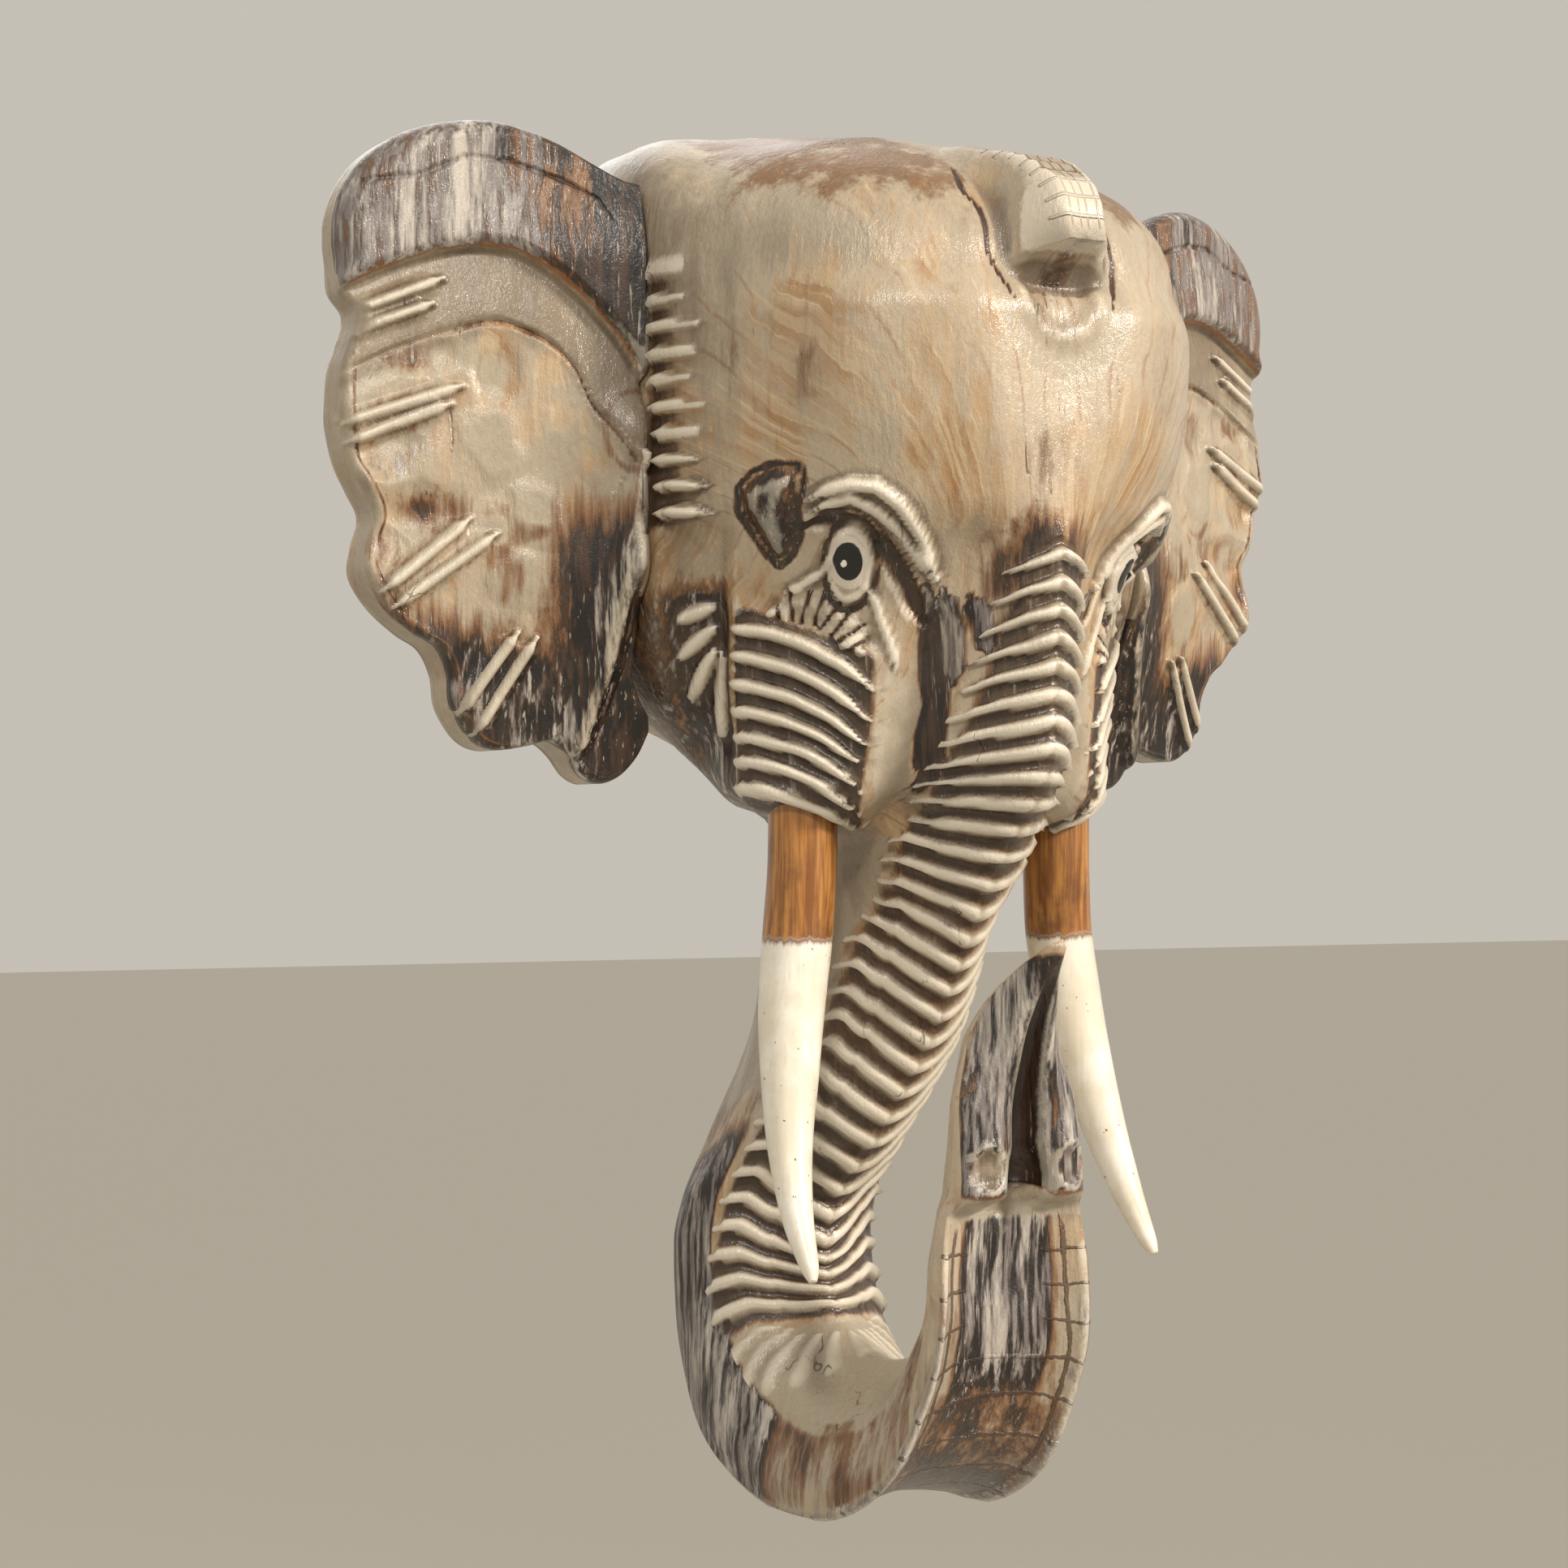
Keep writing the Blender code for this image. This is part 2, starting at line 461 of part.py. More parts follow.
def main():
    for obj in list(bpy.data.objects):
        bpy.data.objects.remove(obj)

    rows, places = grid_marks()
    grid_row, grid_place = np.meshgrid(rows, places, indexing="ij")
    rings = skin(grid_row, grid_place)
    crown = plain(np.array(0.01), np.array(0.0))
    tip = plain(np.array(PATH_END), np.array(0.0))
    head = ring_mesh("head_and_trunk", rings, crown, tip, False)
    paint(head, "carved_wood_head", (0.52, 0.42, 0.31), 0.5)
    for tag, hand in (("left", -1), ("right", 1)):
        cut(head, socket("socket_" + tag, hand))

    face = np.array([0.0, 0.12, 0.24, 0.36, 0.48, 0.6, 0.72, 0.82, 0.91, 0.97, 1.0])
    back = np.array([1.0, 0.0])
    outline = np.linspace(0, 1, 46)
    for tag, hand in (("left", -1), ("right", 1)):
        rings = ear_skin(outline, face, back, hand)
        ear = ring_mesh("ear_" + tag, rings, rings[0].mean(axis=0), rings[-1].mean(axis=0), hand < 0)
        paint(ear, "carved_wood_ear_" + tag, (0.50, 0.40, 0.30), 0.5)

    marks = np.array([0.0, 0.1, 0.22, 0.34, 0.45, 0.55, 0.65, 0.75, 0.84, 0.92, 0.97, 1.0])
    for tag, hand in (("left", -1), ("right", 1)):
        rings = tusk_skin(marks, 14, hand)
        tusk = ring_mesh("tusk_" + tag, rings, rings[0].mean(axis=0), rings[-1].mean(axis=0), hand < 0)
        paint(tusk, "tusk_paint_" + tag, (0.80, 0.76, 0.66), 0.3)


if __name__ == "__main__":
    main()
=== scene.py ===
"""Looks for a carved elephant head wall hanging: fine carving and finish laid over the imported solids.

The tables are in millimetres and the meshes in metres. Levels are drops below the crown.
"""

from functools import partial

import bpy
import numpy as np
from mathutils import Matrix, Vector


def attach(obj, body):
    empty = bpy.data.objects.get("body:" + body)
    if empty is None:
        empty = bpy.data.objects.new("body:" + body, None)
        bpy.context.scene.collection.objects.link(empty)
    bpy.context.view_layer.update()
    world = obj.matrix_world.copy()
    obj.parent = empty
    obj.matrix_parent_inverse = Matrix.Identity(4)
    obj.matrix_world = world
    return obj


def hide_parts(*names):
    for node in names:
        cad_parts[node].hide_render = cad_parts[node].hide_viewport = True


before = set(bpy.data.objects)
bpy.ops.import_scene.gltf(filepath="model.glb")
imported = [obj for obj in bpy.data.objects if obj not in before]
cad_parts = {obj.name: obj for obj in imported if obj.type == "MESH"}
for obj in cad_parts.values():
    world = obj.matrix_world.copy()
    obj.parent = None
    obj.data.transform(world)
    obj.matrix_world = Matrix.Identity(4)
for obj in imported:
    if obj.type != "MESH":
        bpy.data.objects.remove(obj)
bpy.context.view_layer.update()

# Sizes that the solids have too: levels and spans of the head, fold of the trunk, flutes, tusks and ears
CROWN = 142.0
DOME = 72.0
CROWN_SWELL = 4.0
DOME_SPREAD = (4.0, 4.0, 3.0, 2.4, 2.4)
FOLD_START = 457.0
PIVOT_DEPTH = 92.0
FOLD_MEAN = 66.0
TIP_RISE = 131.0
JOINT_HALF = 117.0
FIT = 0.3
FLUTE_PITCH = 10.5
FLUTE_FIRST = 181.0
FLUTES = 31
CHEEK_FLUTES = (2, 8)
CHEEK_RAISE = 3.5
TUSK_SEAT = 258.0
STAIN_DROP = 63.0
# The carving is held inside the solids' box
LOWEST, HIGHEST, WIDEST = -416.2, CROWN + 3.8, CROWN + 83.8
MM = 0.001
EAR_SPAN = 112.7
EAR_FACE_IN = 78.0
EAR_FACE_OUT = 33.0
EAR_BACK_IN = 34.0
EAR_BACK_OUT = 14.0

# Path marks: distance travelled from the crown down the back, round the fold and up to the tip
FOLD_END = FOLD_START + np.pi * FOLD_MEAN
PATH_END = FOLD_END + TIP_RISE

# Sections along the path. Columns: path, sideways shift, depth of the back centre, then half-width and
# depth of back corner, side, cheek, face and ridge flank, the depth of the front ridge, and how far
# the two nostril lobes swell
SECTIONS = np.array([
    [72, 0, 0, JOINT_HALF, 0, JOINT_HALF, 84, 101, 119, 75, 163, 38, 186, 184, 0],
    [92, 0, 0, JOINT_HALF, 0, JOINT_HALF, 84, 102, 121, 79, 169, 38, 194, 192, 0],
    [132, 0, 0, JOINT_HALF, 0, JOINT_HALF, 82, 102, 119, 76, 166, 36, 192, 194, 0],
    [160, 0, 0, JOINT_HALF, 0, JOINT_HALF, 81, 101, 113, 71, 158, 34, 184, 194, 0],
    [180, 0, 0, JOINT_HALF, 0, JOINT_HALF, 77, 97, 104, 66, 146, 30, 172, 194, 0],
    [205, 0, 0, JOINT_HALF, 0, 115.5, 70, 92, 94, 62, 134, 29, 165, 192, 0],
    [232, 0, 0, 98, 0, 104, 58, 90, 90, 60, 130, 29, 162, 189, 0],
    [252, 0, 0, 57, 0, 85, 45, 86, 88, 60, 127, 29, 158, 187, 0],
    [268, 0, 0, 24, 0, 64, 40, 83, 87, 61, 125, 29, 150, 181, 0],
    [275, 0, 0, 18, 0, 54, 38, 76, 85, 58, 121, 29, 145, 175, 0],
    [282, 0, 0, 17, 0, 36, 36, 48, 77, 45, 108, 29, 136, 167, 0],
    [292, 0, 0, 17, 0, 31, 34, 38, 72, 36, 100, 29, 126, 158, 0],
    [320, 0, 0, 18, 0, 31, 30, 37, 62, 34, 88, 21, 112, 135, 0],
    [362, -1, 0, 23, 0, 34, 24, 37, 52, 34, 72, 20, 92, 108, 0],
    [414, -12, 0, 35, 0, 38, 14, 39, 26, 36, 40, 20, 60, 75, 0],
    [440, -17, 0, 42, 0, 44, 9, 42, 18, 36, 28, 19, 43, 55, 0],
    [457, -19, 0, 44, 0, 45, 8, 42, 17, 36, 27, 19, 41, 52, 0],
    [491, -18, -9, 43, -10, 44, 2, 42, 16, 35, 28, 19, 40, 50, 0],
    [512, -17, -12, 43, -14, 44, -1, 41, 15, 35, 28, 19, 40, 50, 0],
    [536, -14, -8, 42, -12, 43, 0, 39, 15, 34, 28, 18, 40, 50, 0],
    [561, -12, -2, 40, -9, 41, 3, 38, 17, 33, 28, 18, 41, 51, 0],
    [593, -7, 6, 38, -1, 38, 9, 35, 20, 30, 31, 16, 43, 52, 0],
    [620, -3, 19, 36, 11, 36, 20, 33, 30, 27, 40, 14, 48, 53, 0],
    [640, -1, 26, 35, 16, 35, 25, 31, 34, 25, 43, 13, 50, 54, 0],
    [664, 0, 32, 34, 21, 34, 30, 30, 37, 24, 46, 12, 52, 54, 0],
    [689, 0, 30, 31, 22, 31, 28, 28, 34, 22, 41, 11, 46, 47, 0],
    [698, 0, 24, 28, 16, 28, 24, 26, 32, 21, 39, 11, 43, 44, 12],
    [729, 0, 22, 27, 20, 27, 24, 25, 30, 20, 36, 10, 39, 40, 10],
    [752, 0, 14, 21, 24, 21, 27, 19.5, 31, 15, 34.5, 8, 36.5, 37, 6],
    [769, 0, 3, 15.8, 19, 15.8, 20.5, 14.5, 22.5, 11, 24.5, 6, 25.5, 26, 1],
    [784, 0, -5, 8.6, 6, 8.6, 7, 7.8, 8, 6, 9, 3, 9.7, 10, 0],
    [792, 0, -9.5, 4, -6, 4, -5.2, 3.6, -4.4, 3, -3.8, 1.5, -3.5, -3.4, 0],
])

# Rise of a row above its height at the ridge: path, then at the cheek, at the face and at the ridge flank
WARP = np.array([
    [0, 0, 0, 0],
    [125, 0, 0, 0],
    [176, 0, -20, -13],
    [202, 0, -27, -13],
    [215, 0, -29, -11],
    [237, 0, -26, -9],
    [257, 0, -20, -5],
    [268, 0, -14, 0],
    [286, 1, 0, 6],
    [325, 8, 17, 14],
    [352, 14, 22, 15],
    [400, 16, 21, 13],
    [450, 14, 18, 11],
    [500, 8, 12, 8],
    [530, 3, 5, 3],
    [575, 0, 0, 0],
    [800, 0, 0, 0],
])


def smooth(table, x, column=1):
    """Monotone cubic through a column of a table over its first column, so that nothing overshoots."""
    x = np.asarray(x, float)
    knots, values = table[:, 0], table[:, column]
    step = np.diff(knots)
    slope = np.diff(values) / step
    tangent = np.zeros(len(knots))
    same = slope[:-1] * slope[1:] > 0
    mean = 2 * slope[:-1] * slope[1:] / np.where(same, slope[:-1] + slope[1:], 1.0)
    tangent[1:-1] = np.where(same, mean, 0.0)
    tangent[0] = slope[0]
    tangent[-1] = slope[-1]
    i = np.clip(np.searchsorted(knots, x, side="right") - 1, 0, len(knots) - 2)
    t = np.clip((x - knots[i]) / step[i], 0.0, 1.0)
    h00 = (1 + 2 * t) * (1 - t) ** 2
    h10 = t * (1 - t) ** 2
    h01 = t * t * (3 - 2 * t)
    h11 = t * t * (t - 1)
    return (h00 * values[i] + h10 * step[i] * tangent[i]
            + h01 * values[i + 1] + h11 * step[i] * tangent[i + 1])


def ramp(x, low, high):
    """0 below low, 1 above high, with an S between them."""
    t = np.clip((x - low) / (high - low), 0.0, 1.0)
    return t * t * (3 - 2 * t)


def fade(x, low, high):
    """1 below low, 0 above high."""
    return 1 - ramp(x, low, high)


def span(x, start, full, falling, end):
    """Rises from 0 at start to 1 at full, and falls from falling to 0 at end."""
    return ramp(x, start, full) * fade(x, falling, end)


def strongest(*layers):
    """Highest of several layers at each place."""
    return np.max(np.broadcast_arrays(*layers), axis=0)


def bump(x, centre, half):
    """1 at the centre, 0 beyond the half width, rounded."""
    t = np.clip(np.abs(x - centre) / half, 0.0, 1.0)
    return (1 - t * t) ** 2


def bend(p0, p1, p2, p3, t):
    """Catmull-Rom curve from p1, where t is 0, to p2, where it is 1."""
    return 0.5 * (2 * p1 + (p2 - p0) * t + (2 * p0 - 5 * p1 + 4 * p2 - p3) * t ** 2
                  + (3 * p1 - p0 - 3 * p2 + p3) * t ** 3)


def chevron(s, w):
    """Height that a row gains over its own height at the front ridge, so that rows run along the flutes."""
    a = np.abs(w)
    at_cheek, at_face, at_flank = (smooth(WARP, s, c) for c in (1, 2, 3))
    rise = np.interp(a, [1.2, 3.0], [0.0, 1.0]) * at_cheek
    rise = np.where(a > 3.0, at_cheek + (at_face - at_cheek) * (a - 3.0) / 1.35, rise)
    rise = np.where(a > 4.35, at_face + (at_flank - at_face) * ramp(a, 4.35, 5.0), rise)
    return np.where(a > 5.0, at_flank * (6.0 - a) ** 1.2, rise)


def section(s, w):
    """Sideways place and depth on the plain section at path mark s; w runs from -6 to 6 round the front."""
    a = np.abs(w)
    row = [smooth(SECTIONS, np.maximum(s, DOME), c) for c in range(1, 15)]
    up = np.clip(1 - s / DOME, 0.0, 1.0)
    deep = np.sqrt(1 - up ** 2)
    wide = [(1 - up ** e) ** (1 / e) for e in DOME_SPREAD]
    us = [np.zeros_like(a)] + [row[c] * f for c, f in zip((2, 4, 6, 8, 10), wide)] + [np.zeros_like(a)]
    qs = [row[c] * deep for c in (1, 3, 5, 7, 9, 11, 12)]
    us = [2 * us[1] - us[2]] + us[1:] + [-us[5]]
    qs = [2 * qs[1] - qs[2]] + qs[1:] + [qs[5]]
    u = us[1] * a
    q = row[1] * deep + (row[3] - row[1]) * deep * a * a - row[13] * 4 * a * (1 - a)
    for k in range(1, 6):
        t = np.clip(a - k, 0.0, 1.0)
        here = (a >= k) & ((a < k + 1) | (k == 5))
        u = np.where(here, bend(*us[k - 1:k + 3], t), u)
        q = np.where(here, bend(*qs[k - 1:k + 3], t), q)
    return np.minimum(u, JOINT_HALF) * np.sign(w), q, row[0]


def place(s, u, q):
    """Point for path mark s: straight down the back, round the fold, then straight up to the tip."""
    turn = np.clip((s - FOLD_START) / FOLD_MEAN, 0.0, np.pi)
    r = PIVOT_DEPTH - q
    depth = np.maximum(PIVOT_DEPTH - r * np.cos(turn), 0.0)
    height = CROWN - FOLD_START - r * np.sin(turn)
    height = height + np.maximum(FOLD_START - s, 0.0) + np.maximum(s - FOLD_END, 0.0)
    height = height + CROWN_SWELL * np.clip(1 - s / DOME, 0.0, 1.0) ** 2
    return np.stack([u, -depth, height], axis=-1)


def plain(s, w):
    u, q, shift = section(s, w)
    return place(s, u + shift, q)


def nearest_on(x, y, points):
    """Distance to a polyline and distance run along it at each place, and its length."""
    pts = np.asarray(points, float)
    best = np.full(np.shape(x), 1e9)
    run = np.zeros(np.shape(x))
    start = 0.0
    for (x0, y0), (x1, y1) in zip(pts, pts[1:]):
        leg = np.hypot(x1 - x0, y1 - y0)
        t = np.clip(((x - x0) * (x1 - x0) + (y - y0) * (y1 - y0)) / leg ** 2, 0.0, 1.0)
        d = np.hypot(x - x0 - t * (x1 - x0), y - y0 - t * (y1 - y0))
        run = np.where(d < best, start + t * leg, run)
        best = np.minimum(best, d)
        start += leg
    return best, run, start


def lay_stroke(x, y, points, half):
    """Closeness to a polyline: 1 on it, 0 beyond the half width; it thins at its ends."""
    best, run, length = nearest_on(x, y, points)
    thin = np.clip(np.minimum(run, length - run) / length * 8, 0.35, 1.0)
    return np.clip(1 - (best / (half * thin)) ** 2, 0.0, 1.0)


# Where the flutes end on either side, as the section parameter along the path
FLUTE_ENDS = np.array([
    [170, 5.72], [200, 5.45], [230, 5.25], [262, 5.05], [300, 5.0], [325, 4.8], [352, 4.4], [374, 4.2],
    [434, 4.1], [467, 4.0], [489, 3.5], [510, 3.4],
])
BROW_OUTER = [
    (1.4, 160.6), (6.6, 158), (16.7, 155.9), (26.5, 156.9), (35.9, 163.7), (43.9, 174.9), (50.2, 190.2),
]
BROW_INNER = [
    (1.6, 165.5), (6.9, 162.9), (17, 160.8), (26.5, 165.7), (35.1, 172.5), (40.9, 179.7), (48.2, 190.4),
]

# Ear outline from the top of the joint round to its foot, and the joint line beside it. Columns: distance
# out from the plane of the joint, and drop below the crown
EAR_OUTLINE = np.array([
    [9.7, 29], [20.7, 20], [32.7, 13], [48.7, 8], [61.7, 8], [75.7, 11], [86.7, 16], [96.7, 24],
    [103.7, 34], [107.7, 45], [108.7, 55], [107.7, 65], [106.7, 76], [101.2, 85], [103.7, 96],
    [106.7, 106], [107.7, 118], [107.7, 128], [104.7, 142], [99.7, 153], [95.2, 163], [97.7, 174],
    [98.7, 186], [91.7, 198], [80.7, 208], [71.7, 214], [66.7, 224], [64.7, 237], [57.2, 249],
    [47.7, 253.5], [35.7, 252], [26.7, 250], [19.7, 255], [13.7, 263], [6.7, 266.5], [-0.8, 264],
    [-6.8, 257], [-10.3, 248],
])
EAR_JOINT = np.array([
    [0, 33], [0, 224], [-4.8, 234], [-8.8, 240],
])
EAR_JOINT_MARKS = np.array([0.0, 0.86, 0.94, 1.0])
GROOVE_TOP = np.array([
    [-17.3, 132], [-1.3, 110], [7.7, 94], [17.7, 81], [27.7, 71], [36.7, 64], [46.7, 59],
    [58.7, 58], [70.7, 60], [90.7, 67], [108.7, 76], [117.7, 80],
])
GROOVE_LOW = np.array([
    [-17.3, 172], [0.7, 144], [12.7, 126], [18.7, 117], [23.7, 105], [32.7, 95], [41.7, 90],
    [51.7, 87], [74.7, 93], [90.7, 99], [102.7, 106], [117.7, 114],
])
EAR_FOLD = [(0.7, 139), (2.7, 165), (7.7, 195), (10.7, 221), (17.7, 252), (22.7, 262)]
EAR_RIBS = [
    [(107.7, 87), (70.7, 71)],
    [(106.7, 94), (74.7, 81)],
    [(108.7, 129), (64.7, 113)],
    [(106.7, 136), (68.7, 120)],
    [(93.7, 193), (61.7, 164)],
    [(88.7, 199), (52.7, 170)],
    [(63.7, 240), (43.7, 208)],
    [(57.7, 248), (36.7, 210)],
]
# Tusk from its root to its tip. Columns: share of the way, distance out, depth, drop below the seat, radius
TUSK = np.array([
    [0, 60.5, 103.5, 0, 13.8], [0.125, 60.5, 103.5, 34, 13.8], [0.25, 62, 102.5, 64, 13.8],
    [0.375, 66, 104.5, 94, 13.3], [0.5, 70.5, 110.5, 124, 11.3], [0.625, 75, 119, 152, 8.6],
    [0.75, 78, 130, 176, 6.1], [0.875, 79.5, 142, 194, 3.2], [1, 80, 144.5, 197.5, 1.6],
])


def ear_mark(points):
    legs = np.hypot(*np.diff(points, axis=0).T)
    return np.concatenate([[0.0], np.cumsum(legs)]) / legs.sum()


def round_curve(points, marks, x):
    """Smooth curve through points, for outlines that turn back on themselves."""
    ghosted = np.vstack([2 * points[0] - points[1], points, 2 * points[-1] - points[-2]])
    i = np.clip(np.searchsorted(marks, x, side="right") - 1, 0, len(marks) - 2)
    t = ((x - marks[i]) / (marks[i + 1] - marks[i]))[..., None]
    return bend(*(ghosted[i + k] for k in range(4)), t)


def ear_plan(a, b):
    """Distance out and drop on the ear at mark a of its outline, b from the joint line out to the edge."""
    rim = round_curve(EAR_OUTLINE, ear_mark(EAR_OUTLINE), a)
    joint = np.stack([np.interp(a, EAR_JOINT_MARKS, EAR_JOINT[:, c]) for c in (0, 1)], axis=-1)
    spot = joint + (rim - joint) * b[..., None]
    return spot[..., 0], spot[..., 1], np.hypot(*(rim - joint).transpose(2, 0, 1)) * (1 - b)


def ear_depths(out, drop, edge):
    """Front and back depth of the ear plank: rim band, cavetto under it, a ribbed and lobed field below."""
    t = np.clip(1 - out / EAR_SPAN, 0.0, 1.15)
    foot = 1 - 0.5 * ramp(drop, 172, 277)
    crown = 0.78 + 0.22 * ramp(drop, 17, 67)
    front = EAR_FACE_OUT + (EAR_FACE_IN - EAR_FACE_OUT) * t ** 1.2 * foot * crown
    back = EAR_BACK_OUT + (EAR_BACK_IN - EAR_BACK_OUT) * np.clip(t, 0.0, 1.0)
    top = smooth(GROOVE_TOP, out)
    low = smooth(GROOVE_LOW, out)
    part_way = np.clip((low - drop) / (low - top), 0.0, 1.0)
    band = 4.0 * ramp(drop, top + 1.5, top - 4)
    cavetto = -5.0 * part_way ** 1.3 * fade(drop, top + 3, top - 1)
    field = ramp(drop, low, low + 14)
    ribs = sum(lay_stroke(out, drop, rib, 5.0) for rib in EAR_RIBS)
    fold = 4.0 * lay_stroke(out, drop, EAR_FOLD, 8.0)
    lobes = 5.0 * bump(np.hypot(out - 3, (drop - 129) / 1.35), 0, 15)
    lobes = lobes + 5.0 * bump(np.hypot(out - 3, (drop - 182) / 1.5), 0, 12)
    wave = 1.6 * np.sin(drop / 5.6 - out / 14) * ramp(out, 43, 98) * field
    soft = 4.0 + 8.0 * ramp(drop, top + 2, top - 10)
    fall = soft * (1 - np.sqrt(1 - np.clip(1 - edge / soft, 0.0, 1.0) ** 2))
    return front + band + cavetto + wave + 2.0 * ribs + fold + lobes - fall, back


def tusk_axis(marks):
    return np.stack([smooth(TUSK, marks, c) for c in (1, 2, 3)], axis=-1)


def tusk_skin(marks, sides, hand):
    """Rings round the tusk axis, square to it."""
    ahead = tusk_axis(np.minimum(marks + 0.01, 1)) - tusk_axis(np.maximum(marks - 0.01, 0))
    ahead = ahead / np.linalg.norm(ahead, axis=-1, keepdims=True)
    across = np.cross(ahead, [0.0, 1.0, 0.0])
    across = across / np.linalg.norm(across, axis=-1, keepdims=True)
    over = np.cross(across, ahead)
    turn = np.linspace(0, 2 * np.pi, sides, endpoint=False)[None, :, None]
    ring = np.cos(turn) * across[:, None] + np.sin(turn) * over[:, None]
    ring = tusk_axis(marks)[:, None] + smooth(TUSK, marks, 4)[:, None, None] * ring
    return np.stack([hand * ring[..., 0], -ring[..., 1], CROWN - TUSK_SEAT - ring[..., 2]], axis=-1)


# Strokes on the face: place across the view and drop, and the half width of each
LID_LINE = [(1.8, 166.9), (10.4, 165.1), (19.9, 166.4), (28.3, 173.2), (34.1, 180.5), (41.7, 190.7)]
LID_SHADOW = [(-0.3, 170.2), (7.8, 167.8), (19.1, 172.4), (31.7, 182.3), (39.2, 193), (45, 206.7)]
TEAR_INNER = [(-7.4, 193.2), (-2.3, 191.8), (5.8, 187.7), (8.4, 184.1), (11, 180.2)]
TEAR_OUTER = [(23.4, 192.6), (27.4, 198.8), (29.1, 204.8), (33.4, 215.6), (35.7, 224)]
TEMPLE_FAN = [
    [(-50.6, 204.4), (-35.4, 199.1)], [(-50.8, 219.6), (-35.4, 206.1)],
    [(-47.6, 235.9), (-35.3, 214.1)], [(-35.3, 250.4), (-33.2, 215.5)],
    [(-52.7, 151.8), (-38.9, 153.1)], [(-53.1, 162.1), (-39.6, 162.1)],
]
POUCH = [(-12, 200.5), (-2, 198.5), (8, 201), (16, 207), (22.5, 217)]
TROUGH = [
    (45.6, 193.9), (49.4, 205.7), (49.3, 216.5), (48.1, 237.7), (46.8, 249), (46.9, 264.7), (43.3, 269.7),
]
TROUGH_GREYS = [[(52.1, 194.3), (55.5, 209), (56.1, 229.4)], [(62.3, 196.8), (66, 206), (69.5, 218.4)]]
CHEEK_STRIP = [(33.2, 223.5), (37.2, 237), (33.4, 249.6), (33.1, 269.7), (28, 277.9)]
SEAM_GOUGES, SEAM_TOP, SEAM_PITCH = 11, 59.0, 10.35
RIB_RAISE = 3.8
KNOT = [
    (-24.5, 155.5), (-19.5, 150.5), (-12, 148.3), (-3.5, 149.2), (-1.8, 154), (-4.3, 163.4), (-3.6, 173),
    (-6.5, 180), (-10, 182.5), (-14.1, 178.3), (-19.4, 170.8), (-24.3, 163.3),
]
EYE = (16.9, 184.8)
EYE_HALF = (7.6, 11.8)
PUPIL = (16.5, 182.9)
CROWN_CRACK = [(25.7, 32.4), (31, 43.9), (28, 51.5), (28.6, 70.2), (22.6, 87.4)]

FACE_STROKES = (
    (BROW_OUTER, 3.4), (BROW_INNER, 2.8), (LID_LINE, 1.6), (LID_SHADOW, 4.5), (TEAR_INNER, 2.0),
    (TEAR_OUTER, 2.4), (POUCH, 7.0), (TROUGH, 8.5), (CHEEK_STRIP, 8.5),
)

# Sine and cosine of the turn of the viewing angle, the mark where the face ends, and a distance that is far
VIEW_SIN, VIEW_COS = 0.5, 0.866
FACE_END = 300.0
OUTSIDE = 99.0

# Masks for the finish of the wood and for painted shade and highlight, kept as point attributes; the ears
# carry those that they need
HEAD_MASKS = (
    "burn", "rub", "grey", "pale", "wash", "amber", "soil", "grain", "pit", "path", "about", "side",
    "scored", "lines", "bricks", "pupil", "glint",
)


def lumps(points, cell, seed):
    """Value noise, -0.5 to 0.5: a random height at each corner of a cubic lattice, blended between."""
    p = points / cell
    base = np.floor(p).astype(np.int64)
    t = p - base
    t = t * t * (3 - 2 * t)
    total = 0.0
    for corner in range(8):
        step = np.array([corner & 1, corner >> 1 & 1, corner >> 2 & 1])
        key = base + step
        code = key[..., 0] * 73856093 ^ key[..., 1] * 19349663 ^ key[..., 2] * 83492791 ^ seed * 7919
        code = (code & 0xFFFFFFF) * 1274126177 & 0xFFFFFFFF
        code = ((code ^ code >> 15) * 40503) & 0xFFFFFFFF
        weight = np.prod(np.where(step, t, 1 - t), axis=-1)
        total = total + weight * ((code >> 8 & 0xFFFF) / 65535.0 - 0.5)
    return total


def strokes(x, y, many, half):
    """Strongest of several strokes at each point."""
    return strongest(*(lay_stroke(x, y, line, half) for line in many))


def leaf(x, y, start, end, half, blunt):
    """Leaf-shaped gouge between two places: 1 along its middle; blunt 1 keeps its first end full."""
    run = np.subtract(end, start)
    long = np.hypot(*run)
    t = ((x - start[0]) * run[0] + (y - start[1]) * run[1]) / long ** 2
    off = ((x - start[0]) * run[1] - (y - start[1]) * run[0]) / long
    t = np.clip(t, 0.0, 1.0)
    wide = half * np.sqrt(np.clip(4 * t * (1 - t), 0, 1)) * (1 - blunt)
    wide = wide + half * blunt * (1 - t) ** 0.9 * np.sqrt(np.clip(6 * t, 0, 1))
    return np.clip(1 - (off / np.maximum(wide, 0.05)) ** 2, 0.0, 1.0) * (t > 0) * (t < 1)


def inside_by(x, y, outline):
    """Distance in from the edge of an outline, negative outside it."""
    closed = np.array(outline + outline[:1])
    odd = np.zeros(np.shape(x), bool)
    for (x0, y0), (x1, y1) in zip(closed, closed[1:]):
        cross = x0 + (y - y0) * (x1 - x0) / (y1 - y0 if y1 != y0 else 1e-9)
        odd ^= ((y0 > y) != (y1 > y)) & (x < cross)
    best = nearest_on(x, y, closed)[0]
    return np.where(odd, best, -best)


def tooth(x, share):
    """Rounded ribs, one to each unit of x: 1 on the crest, 0 in the gap, share of the unit wide."""
    near = np.abs((x + 0.5) % 1 - 0.5) / np.maximum(share / 2, 0.01)
    return np.clip(1 - near ** 2, 0.0, 1.0)


